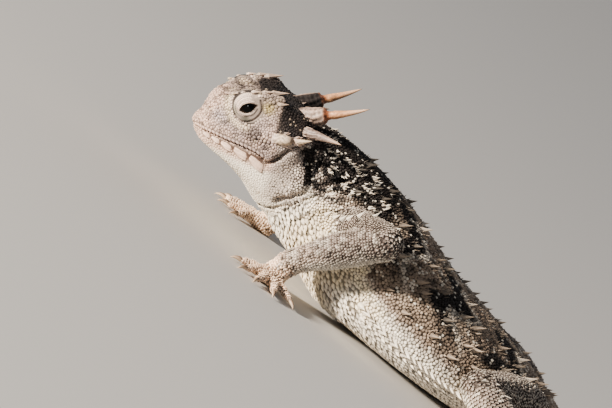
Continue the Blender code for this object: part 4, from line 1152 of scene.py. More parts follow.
for side in SIDES.values():
    for back, out, up, length, radius in BROWS:
        way = unit(turned(np.array(BROW_WAY) * (1, side, 1)))
        root = on_head((back, side * out, up)) - way * length
        add_spine(root, way, length, radius, 0.5, BROW, LYING_SHAPE)
        taken.append((root + way * length * 0.5, radius * 0.9))
    for spot in SHOULDER_ROW:
        at, normal = settle(np.array(spot) * (1, side, 1), 2.5)
        add_spine(at, normal * 0.5 + (0.5, 0.0, 0.75), 1.15, 0.5, 1.0)
        taken.append((at, 0.42))
    for root, tip, radius, _ in (OCCIPITAL_HORN, *TEMPORAL_HORNS):
        root, tip = np.array(root) * (1, side, 1), np.array(tip) * (1, side, 1)
        foot, far = on_head(root), on_head(tip)
        leaving, _, _, _ = surface.ray_cast(tuple(far), tuple(unit(foot - far)))
        foot = foot if leaving is None else np.array(leaving)
        way = unit(far - foot)
        across = unit(np.cross(way, (0, 0, 1)))
        rise = np.cross(way, across)
        for n in range(9):
            turn = n * 2 * math.pi / 9 + draw.uniform(-0.15, 0.15)
            outward = across * math.cos(turn) + rise * math.sin(turn)
            at, normal = settle(foot + outward * radius * 1.12)
            if at is not None:
                add_spine(at, normal * 0.4 + way + outward * 0.3, 0.62, 0.34, 0.5, SNOUT)
                taken.append((at, 0.3))
        taken.append((foot, radius * 0.95))

# Chin shields and lips. Large smooth plates with free points behind edge the lower jaw under the
# mouth, and a row of small even scales edges the upper lip. All are horny skin.
SHIELDS = (  # back and up of the front end, then of the rear end, and height, on each side
    (0.8, 0.1, 1.9, 0.2, 0.6), (2.1, 0.2, 3.4, 0.25, 0.85), (3.6, 0.25, 5.3, 0.25, 1.25),
    (5.65, 0.25, 7.8, 0.2, 1.6), (8.15, 0.15, 10.7, -0.45, 1.75),
)
LIP_STEP = 0.72
bpy.ops.object.select_all(action="DESELECT")
bpy.ops.mesh.primitive_grid_add(x_subdivisions=10, y_subdivisions=6, size=2)
SHIELD_SHAPE, SHIELD_FACES = shape_of_selected()
SHIELD_PATCH = patch_of(SHIELD_SHAPE, SHIELD_FACES)


def shield(front, rear, height, relief=1.0):
    """A plate laid on the skin from front to rear; its rear corner is a raised point."""
    points, shade = [], []
    way = unit(rear - front)
    length = np.linalg.norm(rear - front)
    middle = (front + rear) / 2
    _, normal, _, _ = surface.find_nearest(tuple(middle))
    normal = np.array(normal)
    down = np.cross(way, normal)
    down = down if down[2] < 0 else -down
    for x, y, _ in SHIELD_SHAPE:
        across, down_share = x * math.sqrt(1 - 0.2 * y * y), y * math.sqrt(1 - 0.3 * x * x)
        point = 0.2 * max(across, 0) ** 2 * (down_share + 1)
        reach = (across * 0.5 + point) * length
        drop = (down_share * 0.52 * (0.84 + 0.2 * across) + 0.14 * across) * height
        spot = middle + way * reach + down * drop
        found, away, _, _ = surface.find_nearest(tuple(spot))
        edge = (1 - x**4) * (1 - y**4)
        lift = -0.16 + 0.36 * edge**0.5 + (0.06 + 0.16 * y) * edge * (1 + x)
        lift += 0.04 * math.sin(y * 9 + x * 2)
        points.append(np.array(found) + np.array(away) * (lift * relief))
        shade.append(float(smooth_step(0.12, 0.5, np.array(edge))))
    flipped = np.dot(np.cross(way, down), normal) < 0
    turn = -1 if flipped else 1
    return np.array(points), SHIELD_FACES[:, ::turn], np.array(shade), SHIELD_PATCH[:, ::turn]


lips = Growths("chin_shields", "throat_skin")


def add_shield(front, rear, height, tint, relief=1.0):
    points, faces, shade, patch = shield(front, rear, height, relief)
    middle = points.mean(axis=0)
    colours = np.tile(np.array(tint) * draw.uniform(0.9, 1.08), (len(points), 1))
    colours = tinted(colours, SEAM, (1 - shade) * 0.9)
    colours *= 1 + 0.3 * (mottle(points, 0.4, 25)[:, None] - 0.5)
    roots = roots_of(middle[None], (sheet_tree.find(middle)[1],))
    lips.add(points[None], faces, colours[None], roots, patch)
    for spot in points:
        taken.append((spot, 0.2))


for side in SIDES.values():
    for back, up, rear_back, rear_up, height in SHIELDS:
        ends = []
        for b, u in ((back, up - height / 2 + 0.55), (rear_back, rear_up - height / 2 + 0.55)):
            spot = on_head((b, side * float(along(LIP_OUT, b)), u))
            ends.append(np.array(surface.find_nearest(tuple(spot))[0]))
        add_shield(ends[0], ends[1], height, SHIELD)
    mouth = creases[0 if side < 0 else len(creases) // 2][0]
    steps = np.linalg.norm(np.diff(mouth, axis=0), axis=1)
    lengths = np.concatenate(((0,), np.cumsum(steps)))
    for start in np.arange(0.05 if side < 0 else 0.4, lengths[-1] - 1.2, LIP_STEP):
        ends = []
        for reach in (start, start + LIP_STEP * 0.86):
            spot = np.array([np.interp(reach, lengths, mouth[:, axis]) for axis in range(3)])
            ends.append(settle(spot + turned((0.0, side * 0.15, 0.42)))[0])
        tint = tinted(np.array((SNOUT,)), CHEEK, smooth_step(0, 9, np.array((start,))))[0]
        add_shield(ends[0], ends[1], 0.56, tint, 0.4)


# Horns. Bony cores in a horny sheath: each rises from a ribbed, skin-coloured sleeve, has an
# orange-brown ring where the sleeve ends, and runs out to a smooth pale point.
SLEEVE, RING, CORE, CORE_PALE = (
    (0.36, 0.265, 0.21), (0.26, 0.10, 0.05), (0.50, 0.27, 0.15), (0.60, 0.41, 0.28),
)
PLATE, TIP_DARK = (0.44, 0.345, 0.25), (0.07, 0.045, 0.035)
LONG_HORN = (  # share of the length, share of the radius
    (-0.12, 0.9), (0, 0.93), (0.15, 0.99), (0.27, 0.97), (0.33, 0.92), (0.36, 0.84),
    (0.38, 0.6), (0.5, 0.48), (0.65, 0.36), (0.8, 0.24), (0.92, 0.12), (1.0, 0.015),
)
SHORT_HORN = (
    (-0.2, 1.0), (0, 1.05), (0.2, 1.02), (0.45, 0.82), (0.7, 0.5), (0.88, 0.24), (0.96, 0.1),
    (1.0, 0.02),
)
BLUNT_HORN = (
    (-0.2, 1.0), (0, 1.05), (0.3, 1.04), (0.6, 0.97), (0.8, 0.82), (0.92, 0.6), (0.98, 0.32),
    (1.0, 0.02),
)
WIDTHS = {"occipital": LONG_HORN, "temporal_1": BLUNT_HORN}
horny = finish("horn", 0.46, 0.4, 0.16, 0.16, 0.7)
SQUARE = 3.6  # how square the foremost horn is in section, where 2 is round
horn_sides = 40
for kind, (root, tip, radius, bow) in (
    ("occipital", OCCIPITAL_HORN),
    *((f"temporal_{n + 1}", horn) for n, horn in enumerate(TEMPORAL_HORNS)),
):
    sleeved = kind in ("occipital", "temporal_3")
    for name, side in SIDES.items():
        foot, far = on_head(np.array(root) * (1, side, 1)), on_head(np.array(tip) * (1, side, 1))
        widths = WIDTHS.get(kind, SHORT_HORN)
        rings = tube(foot, far, radius, widths, bow, 0.9, 90, horn_sides)
        share = np.linspace(widths[0][0], 1, 90)[:, None]
        turn = (np.arange(horn_sides) * 2 * math.pi / horn_sides)[None, :]
        folds = smooth_step(0.5, 0.3, share) if sleeved else 0.7 * smooth_step(1.0, 0.6, share)
        rib = np.sin(turn * 8 + 3 * np.sin(share * 9)) * 0.05 * folds
        rib = rib + np.sin(share * 95 + 1.5 * np.sin(turn * 2)) * 0.012 * folds
        grit = mottle(rings.reshape(-1, 3), 0.25, 26).reshape(rib.shape) - 0.5
        rib = rib + grit * 0.09 * smooth_step(0.9, 0.5, share)
        square = (np.abs(np.cos(turn)) ** SQUARE + np.abs(np.sin(turn)) ** SQUARE) ** (-1 / SQUARE)
        swell = (1 + rib) * (square if kind == "temporal_1" else 1)
        middles = rings.mean(axis=1, keepdims=True)
        rings = middles + (rings - middles) * swell[..., None]
        horn = bpy.data.objects.new(f"horn_{kind}_{name}_dressed", mesh_of_rings([rings]))
        bpy.context.collection.objects.link(horn)
        flat = np.broadcast_to(share, rib.shape).ravel()
        # Painted shade and light: the colour is darkened in the grooves between the ribs and lightened a
        # little on them.
        groove_shade = np.clip(rib.ravel() * 9, -0.45, 0.2)
        colours = np.tile(SLEEVE if sleeved else PLATE, (flat.size, 1))
        patches = mottle(rings.reshape(-1, 3), 0.6, 23)
        colours = tinted(colours, CHEEK_DARK, smooth_step(0.45, 0.85, patches) * 0.45)
        if kind == "occipital":
            # Painted shade: the inner side of each occipital horn is painted black and its underside darker.
            inward = ((rings - middles)[..., 1] * -side / radius).ravel()
            lower = ((rings - middles)[..., 2] / radius).ravel()
            colours = tinted(colours, BLACK, smooth_step(-0.1, 0.3, inward) * 0.95)
            colours = tinted(colours, CHEEK_DARK, smooth_step(0.3, 0.9, -lower) * 0.5)
            colours = tinted(colours, RING, smooth_step(0.32, 0.37, flat))
            colours = tinted(colours, CORE, smooth_step(0.39, 0.47, flat))
            colours = tinted(colours, CORE_PALE, smooth_step(0.6, 0.85, flat) * 0.7)
        elif kind == "temporal_3":
            colours = tinted(colours, CHEEK_DARK, smooth_step(0.8, 0.4, flat) * 0.6)
            colours = tinted(colours, CORE_PALE, smooth_step(0.6, 0.9, flat) * 0.5)
        else:
            colours = tinted(colours, CHEEK, smooth_step(0.5, 0.0, flat) * 0.7)
        colours = tinted(colours, TIP_DARK, smooth_step(0.93, 1.0, flat) * 0.7)
        paint(horn, colours * (1 + groove_shade[:, None]))
        horn.data.materials.append(horny)
        horn.data.shade_smooth()
        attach(horn, "root")
        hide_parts(f"horn_{kind}_{name}")

# Lids. Loose scaly skin drawn over the bulging ball: a pale low dome with a few fine creases,
# set off by the round crease about it and parted by a slit that is pointed at both ends.
LID_DOME = LID_RADIUS - 0.12
LID_PROFILE = (  # share of the way from the slit to the crease, drop below the dome
    (0, 0.52), (0.03, 0.2), (0.09, 0.04), (0.2, 0.0), (0.32, 0.05), (0.4, 0.01), (0.58, 0.06),
    (0.66, 0.02), (0.88, 0.03), (0.97, 0.08), (1.0, 0.24),
)
LID_RIM = (0.50, 0.42, 0.34)
LID_SPOKES, LID_RINGS = 300, 48
LID_ROWS, ROW_SCALES = 7, 25
soft_skin = finish("lid skin", 0.6, 0.25, 0.14, 0.25, 0.8)
for name, side in SIDES.items():
    bpy.ops.object.select_all(action="DESELECT")
    bpy.ops.mesh.primitive_grid_add(x_subdivisions=LID_SPOKES, y_subdivisions=LID_RINGS, size=2)
    lid = bpy.context.object
    lid.name = f"lids_{name}"
    flat = np.array([vertex.co[:2] for vertex in lid.data.vertices])
    turn, share = (flat[:, 0] + 1) * math.pi, np.clip((flat[:, 1] + 1) / 2, 0, 1) ** 1.3
    length = SLIT_LENGTH * np.cos(turn)
    height = np.sign(np.sin(turn)) * SLIT_HEIGHT * slit_share(np.cos(turn))
    slit_back = SLIT_CENTRE[0] + length * math.cos(SLIT_TILT) - height * math.sin(SLIT_TILT)
    slit_up = SLIT_CENTRE[1] + length * math.sin(SLIT_TILT) + height * math.cos(SLIT_TILT)
    rim_back = EYE[0] + LID_CREASE * np.cos(turn + SLIT_TILT)
    rim_up = EYE[2] + LID_CREASE * np.sin(turn + SLIT_TILT)
    back = slit_back + (rim_back - slit_back) * share
    up = slit_up + (rim_up - slit_up) * share
    row = np.floor(share * LID_ROWS)
    wander = mottle(np.stack((back, up, up * 0 + side), axis=1), 0.5, 21)
    beads = np.abs(np.sin(math.pi * share * LID_ROWS) * np.cos(turn * ROW_SCALES + row * 1.9 + wander * 2))
    radius = LID_DOME - along(LID_PROFILE, share) + (beads**0.5 - 0.6) * 0.09 * np.minimum(share * 8, 1)
    out = np.sqrt(np.maximum(radius**2 - (back - EYE[0])**2 - (up - EYE[2])**2, 0.1))
    places = on_head(np.stack((back, side * (EYE[1] + out), up), axis=1))
    set_places(lid, places)
    bpy.ops.object.mode_set(mode="EDIT")
    bpy.ops.mesh.select_all(action="SELECT")
    bpy.ops.mesh.remove_doubles(threshold=0.00001)
    bpy.ops.mesh.normals_make_consistent(inside=False)
    bpy.ops.object.mode_set(mode="OBJECT")
    level = to_level(places_of(lid))
    share = np.clip((in_slit(places_of(lid), side) - 1) / 1.6, 0, 1)
    patches = mottle(places_of(lid), 0.5, 22)
    below = smooth_step(-0.5, -1.3, (level[:, 2] - EYE[2]) + 0.35 * (level[:, 0] - EYE[0]))
    from_eye = np.hypot(level[:, 0] - EYE[0], level[:, 2] - EYE[2])
    colours = np.tile(LID, (len(level), 1))
    colours = tinted(colours, SNOUT, smooth_step(0.5, 0.9, patches) * 0.5)
    turn = np.arctan2(level[:, 2] - EYE[2], level[:, 0] - EYE[0])
    # Painted shade between the fine beads of the lid.
    bead_shade = np.abs(np.sin(from_eye * 8.5) * np.cos(turn * ROW_SCALES + np.floor(from_eye * 2.7) * 1.9))
    colours *= 0.6 + 0.46 * bead_shade[:, None] ** 0.4
    # Painted shade: the lid is darker at the slit where it turns in and along its fine creases, and black at
    # its edge in the round crease.
    colours = tinted(colours, LID_RIM, smooth_step(0.25, 0.0, share))
    colours = tinted(colours, LID_SHADE, below * smooth_step(1.5, 2.0, from_eye) * 0.75)
    colours = tinted(colours, BLACK, smooth_step(LID_CREASE - 0.24, LID_CREASE - 0.1, from_eye) * 0.95)
    for crease in (0.34, 0.62):
        near = np.exp(-(((from_eye / LID_CREASE - crease - 0.25) / 0.02) ** 2))
        colours = tinted(colours, LID_RIM, near * 0.8)
    paint(lid, colours)
    lid.data.materials.append(soft_skin)
    bpy.ops.object.shade_smooth()
    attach(lid, "root")

# Eyes. Moist dark balls, nearly black, with a brown iris that hardly shows between the lids.
EYE_BALL = 2.2
PUPIL, IRIS = (0.003, 0.003, 0.003), (0.030, 0.016, 0.008)
moist = finish("moist eye", 0.05, 0.22, 0.2, 0.05, 0.0)
for name, side in SIDES.items():
    middle = on_head(EYE * (1, side, 1))
    bpy.ops.object.select_all(action="DESELECT")
    bpy.ops.mesh.primitive_uv_sphere_add(
        segments=64, ring_count=48, radius=EYE_BALL * MM, location=to_row(middle))
    eye = bpy.context.object
    eye.name = f"eye_{name}_ball"
    bpy.ops.object.transform_apply(location=True)
    level = to_level(places_of(eye)) - EYE * (1, side, 1)
    off_axis = np.hypot(level[:, 0], level[:, 2])
    colours = np.tile(IRIS, (len(level), 1))
    paint(eye, tinted(colours, PUPIL, smooth_step(1.0, 0.75, off_axis)))
    eye.data.materials.append(moist)
    bpy.ops.object.shade_smooth()
    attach(eye, "root")
    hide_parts(f"eye_{name}")

# Claws. Short curved horny cones, dark along the top, one at the tip of each digit.
CLAW, CLAW_DARK = (0.55, 0.42, 0.30), (0.16, 0.10, 0.07)
CLAW_RADIUS, CLAW_RISE = 0.33, 0.3
CLAW_WIDTHS = ((0, 0.95), (0.25, 1.0), (0.6, 0.7), (0.9, 0.25), (1.0, 0.03))
for name, side in SIDES.items():
    for kind, plan, paw in (("hand", ARMS[name], HAND), ("foot", LEG, FOOT)):
        groups = []
        for _, tip, way in paw_plan(plan, side, paw)[5]:
            start = tip - way * 0.55 + (0, 0, 0.08)
            end = tip + way * CLAW_LENGTH
            end[2] = 0.1
            groups.append(tube(start, end, CLAW_RADIUS, CLAW_WIDTHS, CLAW_RISE, 1.15, 12, 12))
        claws = bpy.data.objects.new(f"claws_{kind}_{name}", mesh_of_rings(groups))
        bpy.context.collection.objects.link(claws)
        height = np.concatenate([
            (rings - rings.mean(axis=1, keepdims=True))[..., 2].ravel() for rings in groups])
        colours = np.tile(CLAW, (len(height), 1))
        paint(claws, tinted(colours, CLAW_DARK, smooth_step(0.0, 0.25, height) * 0.8))
        claws.data.materials.append(horny)
        claws.data.shade_smooth()
        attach(claws, "root")

# Small scales. They are set close together like cobbles on the head and back, and overlap in
# keeled rows like roof tiles on the chest, belly, limbs and tail, with the skin in between
# darkened as painted shade.
# All are horny skin; each stands on the skin as a low many-sided knob or a pointed tile.
KNOB_SIDES = 7
TILE_STEPS = {"arm": 0.42, "leg": 0.52, "hand": 0.4, "foot": 0.45}


def knob_spacing(places, kinds):
    """How far apart the cobbled scales are set."""
    level = to_level(places)
    back, out, up = level[:, 0], np.abs(level[:, 1]), level[:, 2]
    spacing = 0.35 + 0.08 * smooth_step(32, 42, places[:, 0]) + 0.14 * (mottle(places, 1.0, 31) - 0.5)
    inside = tile_border(places) - places[:, 2]
    tiled = 0.4 + 0.22 * smooth_step(0.0, 2.5, inside) + 0.06 * (mottle(places, 1.4, 34) - 0.5)
    spacing = np.where(tile_zone(places, kinds), tiled, spacing)
    on_head = smooth_step(17.0, 14.0, back) * (kinds == "head")
    head_spacing = 0.31 + 0.1 * smooth_step(7.5, 9.0, up) + 0.05 * smooth_step(4.0, 1.5, back)
    head_spacing = head_spacing + 0.14 * (mottle(places, 0.9, 32) - 0.5)
    cheek = np.exp(-(((back - 8.6) / 2.4) ** 2) - ((up - 3.4) / 1.0) ** 2)
    head_spacing = head_spacing + 0.14 * cheek
    head_spacing = np.where(up < -0.8, 0.3, head_spacing)
    spacing = spacing + (head_spacing - spacing) * on_head
    for kind in ("arm", "leg", "hand", "foot"):
        spacing = np.where(kinds == kind, TILE_STEPS[kind], spacing)
    return spacing


def tile_border(places):
    """The height on the flank under which the scales overlap; it wanders a little."""
    s = places[:, 0]
    border = np.where(s < 34, 12.2 - smooth_step(22, 34, s) * 4.5, along(FLANK_LEVEL, s) - 0.9)
    return border + 2.4 * (mottle(places, 1.2, 33) - 0.5) + 12 * smooth_step(74, 80, s)


def tile_zone(places, kinds):
    """True where the scales are pointed and overlap."""
    under = (places[:, 2] < tile_border(places)) & (places[:, 0] > 18.4)
    return ((kinds == "trunk") & under) | ((kinds != "trunk") & (kinds != "head"))


bpy.ops.object.select_all(action="DESELECT")
bpy.ops.mesh.primitive_cone_add(
    vertices=KNOB_SIDES, radius1=1, radius2=0.7, depth=1, location=(0, 0, 0.5))
bpy.ops.object.transform_apply(location=True)
bpy.ops.object.mode_set(mode="EDIT")
bpy.ops.mesh.select_mode(type="FACE")
bpy.ops.mesh.select_all(action="DESELECT")
bpy.ops.object.mode_set(mode="OBJECT")
for face in bpy.context.object.data.polygons:
    face.select = face.normal.z > 0.9
bpy.ops.object.mode_set(mode="EDIT")
bpy.ops.mesh.poke()
bpy.ops.object.mode_set(mode="OBJECT")
KNOB_SHAPE, KNOB_FACES = shape_of_selected()
knob_turns = np.arctan2(KNOB_SHAPE[:, 1], KNOB_SHAPE[:, 0])
knob_reach = np.hypot(KNOB_SHAPE[:, 0], KNOB_SHAPE[:, 1])
knob_level = np.where(KNOB_SHAPE[:, 2] < 0.5, 0, np.where(knob_reach > 0.3, 1, 2))
knob_corner = np.round((knob_turns / (2 * math.pi) * KNOB_SIDES)).astype(int) % KNOB_SIDES

# The tile is the same knob drawn out to a raised point behind, with a keel along its middle.
TILE_OUTLINE = np.array(((0.8, 0.0), (0.36, 0.36), (-0.12, 0.47), (-0.5, 0.3), (-0.5, -0.3),
                         (-0.12, -0.47), (0.36, -0.36)))
TILE_TOP = (0.95, 0.6, 0.3, 0.05, 0.05, 0.3, 0.6)  # height of the upper rim at each corner
TILE_FOOT = (0.4, 0.0, -0.4, -0.6, -0.6, -0.4, 0.0)
corner_places = np.empty((len(KNOB_SHAPE), 3))
for n, (level, corner) in enumerate(zip(knob_level, knob_corner)):
    if level == 2:
        corner_places[n] = (0.1, 0.0, 0.95)
        continue
    x, y = TILE_OUTLINE[corner]
    if level == 0:
        corner_places[n] = (x, y, TILE_FOOT[corner])
    else:
        narrow = 0.97 if corner == 0 else 0.92
        corner_places[n] = (x * narrow, y * narrow, TILE_TOP[corner])
TILE_SHAPE = corner_places
KNOB_PATCH = patch_of(KNOB_SHAPE, KNOB_FACES)


def tangents(normals, flow):
    along_flow = unit(flow - normals * np.sum(flow * normals, axis=1, keepdims=True))
    return along_flow, np.cross(normals, along_flow)


def flow_at(marks):
    """Which way the scales point, back along the part of the flesh that they are on."""
    return np.array([
        sheets[sheet_index[mark]]["back"].reshape(-1, 3)[mark_index[mark]] for mark in marks])


# Rows of tiles are set out round each limb and laid on the skin.
tile_places, tile_normals, tile_sizes = [], [], []
taken_tree = KDTree(len(taken))
for n, (place, radius) in enumerate(taken):
    taken_tree.insert(place, n)
taken_tree.balance()
for number, sheet in enumerate(sheets):
    kind = sheet_kinds[number]
    if kind in ("head", "trunk"):
        continue
    points = sheet["points"]
    rings, sides = points.shape[:2]
    step = TILE_STEPS[kind]
    middles = points.mean(axis=1)
    lengths = np.concatenate(((0,), np.cumsum(np.linalg.norm(np.diff(middles, axis=0), axis=1))))
    for length in np.arange(step * 0.4, lengths[-1], step * 1.05):
        i = min(int(np.searchsorted(lengths, length, side="right")) - 1, rings - 2)
        way = unit(middles[i + 1] - middles[i])
        part = (length - lengths[i]) / (lengths[i + 1] - lengths[i])
        ring = points[i] * (1 - part) + points[i + 1] * part
        closed = np.concatenate((ring, ring[:1]))
        steps = np.linalg.norm(np.diff(closed, axis=0), axis=1)
        around = np.concatenate(((0,), np.cumsum(steps)))
        wide = step * 1.05
        count = max(int(around[-1] / wide), 4)
        start = draw.uniform(0, 1)
        at = [start + n + draw.uniform(-0.22, 0.22) for n in range(count)]
        at = np.array(at) / count * around[-1] % around[-1]
        spots = np.stack([np.interp(at, around, closed[:, axis]) for axis in range(3)], axis=1)
        for spot in spots:
            place, normal = settle(spot + way * step * draw.uniform(-0.12, 0.12), 0.55)
            if place is None or abs(normal @ way) > 0.55:
                continue
            if sheet_index[sheet_tree.find(place)[1]] != number:
                continue
            nearest = taken_tree.find(place)
            if nearest[2] < taken[nearest[1]][1] + 0.1:
                continue
            tile_places.append(place)
            tile_normals.append(normal)
            tile_sizes.append(around[-1] / count)
tile_places, tile_normals = np.array(tile_places), np.array(tile_normals)
tile_sizes = np.array(tile_sizes)
print(len(tile_places), "tiles")

# Knobs fill the rest of the skin, at seeded random places that keep their distance.
seeds = np.random.default_rng(23)
skin.data.calc_loop_triangles()
corners = np.empty(len(skin.data.loop_triangles) * 3, np.int32)
skin.data.loop_triangles.foreach_get("vertices", corners)
corners = corners.reshape(-1, 3)
face_kinds = sheet_kinds[sheet_index[skin_marks[corners[:, 0]]]]
corners = skin_places[corners]
areas = np.linalg.norm(np.cross(corners[:, 1] - corners[:, 0], corners[:, 2] - corners[:, 0]), axis=1)
face_middles = corners.mean(axis=1)
face_steps = knob_spacing(face_middles, face_kinds)
weights = areas / face_steps**2 * (face_middles[:, 2] > 0.3)
picked = seeds.choice(len(areas), 600000, p=weights / weights.sum())
mix = seeds.random((len(picked), 2))
mix = np.where(mix.sum(axis=1, keepdims=True) > 1, 1 - mix, mix)
spots = (corners[picked, 0] + (corners[picked, 1] - corners[picked, 0]) * mix[:, :1]
         + (corners[picked, 2] - corners[picked, 0]) * mix[:, 1:])
spacing = face_steps[picked]
level = to_level(spots)
blocked = np.hypot(level[:, 0] - EYE[0], level[:, 2] - EYE[2]) < LID_CREASE + 0.06
blocked &= (np.abs(level[:, 1]) > 3.5) & (spots[:, 0] < 14)
for middle in nostril_marks:
    blocked |= np.linalg.norm(spots - middle, axis=1) < 0.42
spot_tree = KDTree(len(spots))
for n, spot in enumerate(spots.tolist()):
    spot_tree.insert(spot, n)
spot_tree.balance()
for place, radius in taken:
    for _, n, _ in spot_tree.find_range(place, radius + 0.08):
        blocked[n] = True
for place, size in zip(tile_places.tolist(), tile_sizes.tolist()):
    for _, n, _ in spot_tree.find_range(place, size * 0.85):
        blocked[n] = True
for line, depth, width in creases:
    for place in line[::2].tolist():
        for _, n, _ in spot_tree.find_range(place, 0.1 + 0.35 * max(width - 0.2, 0)):
            blocked[n] = True
kept = []
for n in range(len(spots)):
    if blocked[n]:
        continue
    kept.append(n)
    for _, m, _ in spot_tree.find_range(spots[n], spacing[n]):
        blocked[m] = True
knob_places, knob_steps = spots[kept], spacing[kept]
knob_marks = nearest_marks(knob_places)
settled = [surface.find_nearest(place)[:2] for place in knob_places.tolist()]
knob_places = np.array([place for place, _ in settled])
knob_normals = np.array([normal for _, normal in settled])
tiled = tile_zone(knob_places, sheet_kinds[sheet_index[knob_marks]])
tile_places = np.concatenate((tile_places, knob_places[tiled]))
tile_normals = np.concatenate((tile_normals, knob_normals[tiled]))
tile_sizes = np.concatenate((tile_sizes, knob_steps[tiled] * 1.15))
knob_places, knob_normals = knob_places[~tiled], knob_normals[~tiled]
knob_steps, knob_marks = knob_steps[~tiled], knob_marks[~tiled]
print(len(knob_places), "knobs")

# Each knob spreads until it almost meets its neighbours, which makes it many-sided.
ahead, aside = tangents(knob_normals, flow_at(knob_marks))
knob_tree = KDTree(len(knob_places))
for n, place in enumerate(knob_places.tolist()):
    knob_tree.insert(place, n)
knob_tree.balance()
turns = np.arange(KNOB_SIDES) * 2 * math.pi / KNOB_SIDES + seeds.uniform(0, 1, (len(knob_places), 1))
reach = np.repeat(knob_steps[:, None] * 0.72, KNOB_SIDES, axis=1)
others = np.array([
    [index for _, index, _ in knob_tree.find_n(place, 9)] for place in knob_places.tolist()])
for k in range(1, others.shape[1]):
    away = knob_places[others[:, k]] - knob_places
    x, y = np.sum(away * ahead, axis=1), np.sum(away * aside, axis=1)
    half, way = np.hypot(x, y) / 2, np.arctan2(y, x)
    facing = np.cos(turns - way[:, None])
    limit = half[:, None] / np.maximum(facing, 0.05)
    reach = np.where(facing > 0.05, np.minimum(reach, limit), reach)
reach = np.maximum(reach * 1.1 - 0.02, 0.07)
level = to_level(knob_places)
on_head = (level[:, 0] < 15.5) & (knob_places[:, 0] < 20)
height = np.where(on_head, 0.085, 0.13) * (knob_steps / 0.4) * seeds.uniform(0.6, 1.4, len(knob_steps))
peak = np.where(on_head, 0.35, 0.9)
cheek = np.exp(-(((level[:, 0] - 8.6) / 2.8) ** 2) - ((level[:, 2] - 3.4) / 0.9) ** 2) * on_head
height = height * (1 + 1.4 * cheek - 0.3 * on_head * smooth_step(0.5, -1.5, level[:, 2]))
flank = smooth_step(30, 38, knob_places[:, 0]) * smooth_step(15, 11, knob_places[:, 2])
height = height * (1 - 0.4 * flank)
ring_reach = reach[:, knob_corner] * np.where(knob_level == 0, 1.0, np.where(knob_level == 1, 0.88, 0))
ring_turns = turns[:, knob_corner]
lift = np.where(knob_level == 0, -0.6, np.where(knob_level == 1, 1.0, 1.3))[None] * height[:, None]
lift = lift + (knob_level == 2)[None] * (height * peak)[:, None]
shift = (knob_level == 2)[None] * (reach.mean(axis=1) * np.where(on_head, 0.0, 0.45))[:, None]
knob_points = (
    knob_places[:, None]
    + ahead[:, None] * (ring_reach * np.cos(ring_turns) + shift)[..., None]
    + aside[:, None] * (ring_reach * np.sin(ring_turns))[..., None]
    + knob_normals[:, None] * lift[..., None]
)
throat = on_head * smooth_step(0.5, -1.5, level[:, 2])
spread = np.where(on_head, 0.12 + 0.2 * cheek - 0.07 * throat, 0.22)
tone = 1 + seeds.uniform(-1, 1, len(knob_places)) * spread
pale_one = seeds.random(len(knob_places)) < np.where(on_head, 0.03, 0.1)
knob_tints = skin_colours(knob_places, knob_normals, knob_marks) * tone[:, None]
pale_tint = np.where(on_head[:, None], BAR_EDGE, CREAM)
knob_tints = np.where(pale_one[:, None], knob_tints * 0.45 + pale_tint * 0.55, knob_tints)
knob_tints *= crease_shade(knob_places)[:, None]
# Painted shade and light: each knob's foot is painted darker than its rim, more on the cheek and less on the
# throat, and its top a little lighter.
foot_shade = np.where(on_head, 0.68 - 0.3 * cheek + 0.18 * throat, 0.48 + 0.2 * flank)[:, None]
shade = np.where(knob_level == 0, foot_shade, np.where(knob_level == 1, 0.95, 1.06))
knob_colours = knob_tints[:, None] * shade[..., None]

tile_marks = nearest_marks(tile_places)
ahead, aside = tangents(tile_normals, flow_at(tile_marks))
tile_kinds = sheet_kinds[sheet_index[tile_marks]]
on_trunk = tile_kinds == "trunk"
size = tile_sizes * seeds.uniform(0.92, 1.08, len(tile_sizes))
chest = on_trunk & (tile_places[:, 0] < 36)
long = size * np.where(chest, 1.25, np.where(on_trunk, 1.05, 0.85))
tall = np.where(chest, 0.4, np.where(on_trunk, 0.24, 0.5)) * size
tall = (tall + np.where(chest, 0.08, 0.0)) * seeds.uniform(0.7, 1.3, len(size))
tall = np.where(tile_places[:, 2] < 1.0, 0.15, tall)
wide = size * np.where(on_trunk, 1.05, 1.35)
tile_points = (
    tile_places[:, None]
    + ahead[:, None] * (TILE_SHAPE[None, :, 0] * long[:, None])[..., None]
    + aside[:, None] * (TILE_SHAPE[None, :, 1] * wide[:, None])[..., None]
    + tile_normals[:, None] * (TILE_SHAPE[None, :, 2] * tall[:, None])[..., None]
)
tone = seeds.uniform(0.8, 1.18, len(tile_places)) * crease_shade(tile_places)
tile_tints = skin_colours(tile_places, tile_normals, tile_marks) * tone[:, None]
# Painted shade: each tile's foot and front rim are darkened; its raised rear point takes the pale tip of the
# scale.
edge = np.where(on_trunk, 0.15, 0.55)[:, None, None]
rim = ((knob_level == 1) & (knob_corner == 0))[None, :, None] * edge
shade = np.where(knob_level == 0, 0.3, np.where(knob_level == 1, 0.85, 1.05))[None, :, None]
front_rim = ((knob_level == 1) & ((knob_corner == 3) | (knob_corner == 4)))[None, :, None]
shade = np.where(front_rim, 0.5, shade)
tile_colours = tile_tints[:, None] * shade * (1 - rim) + np.array(CREAM) * rim

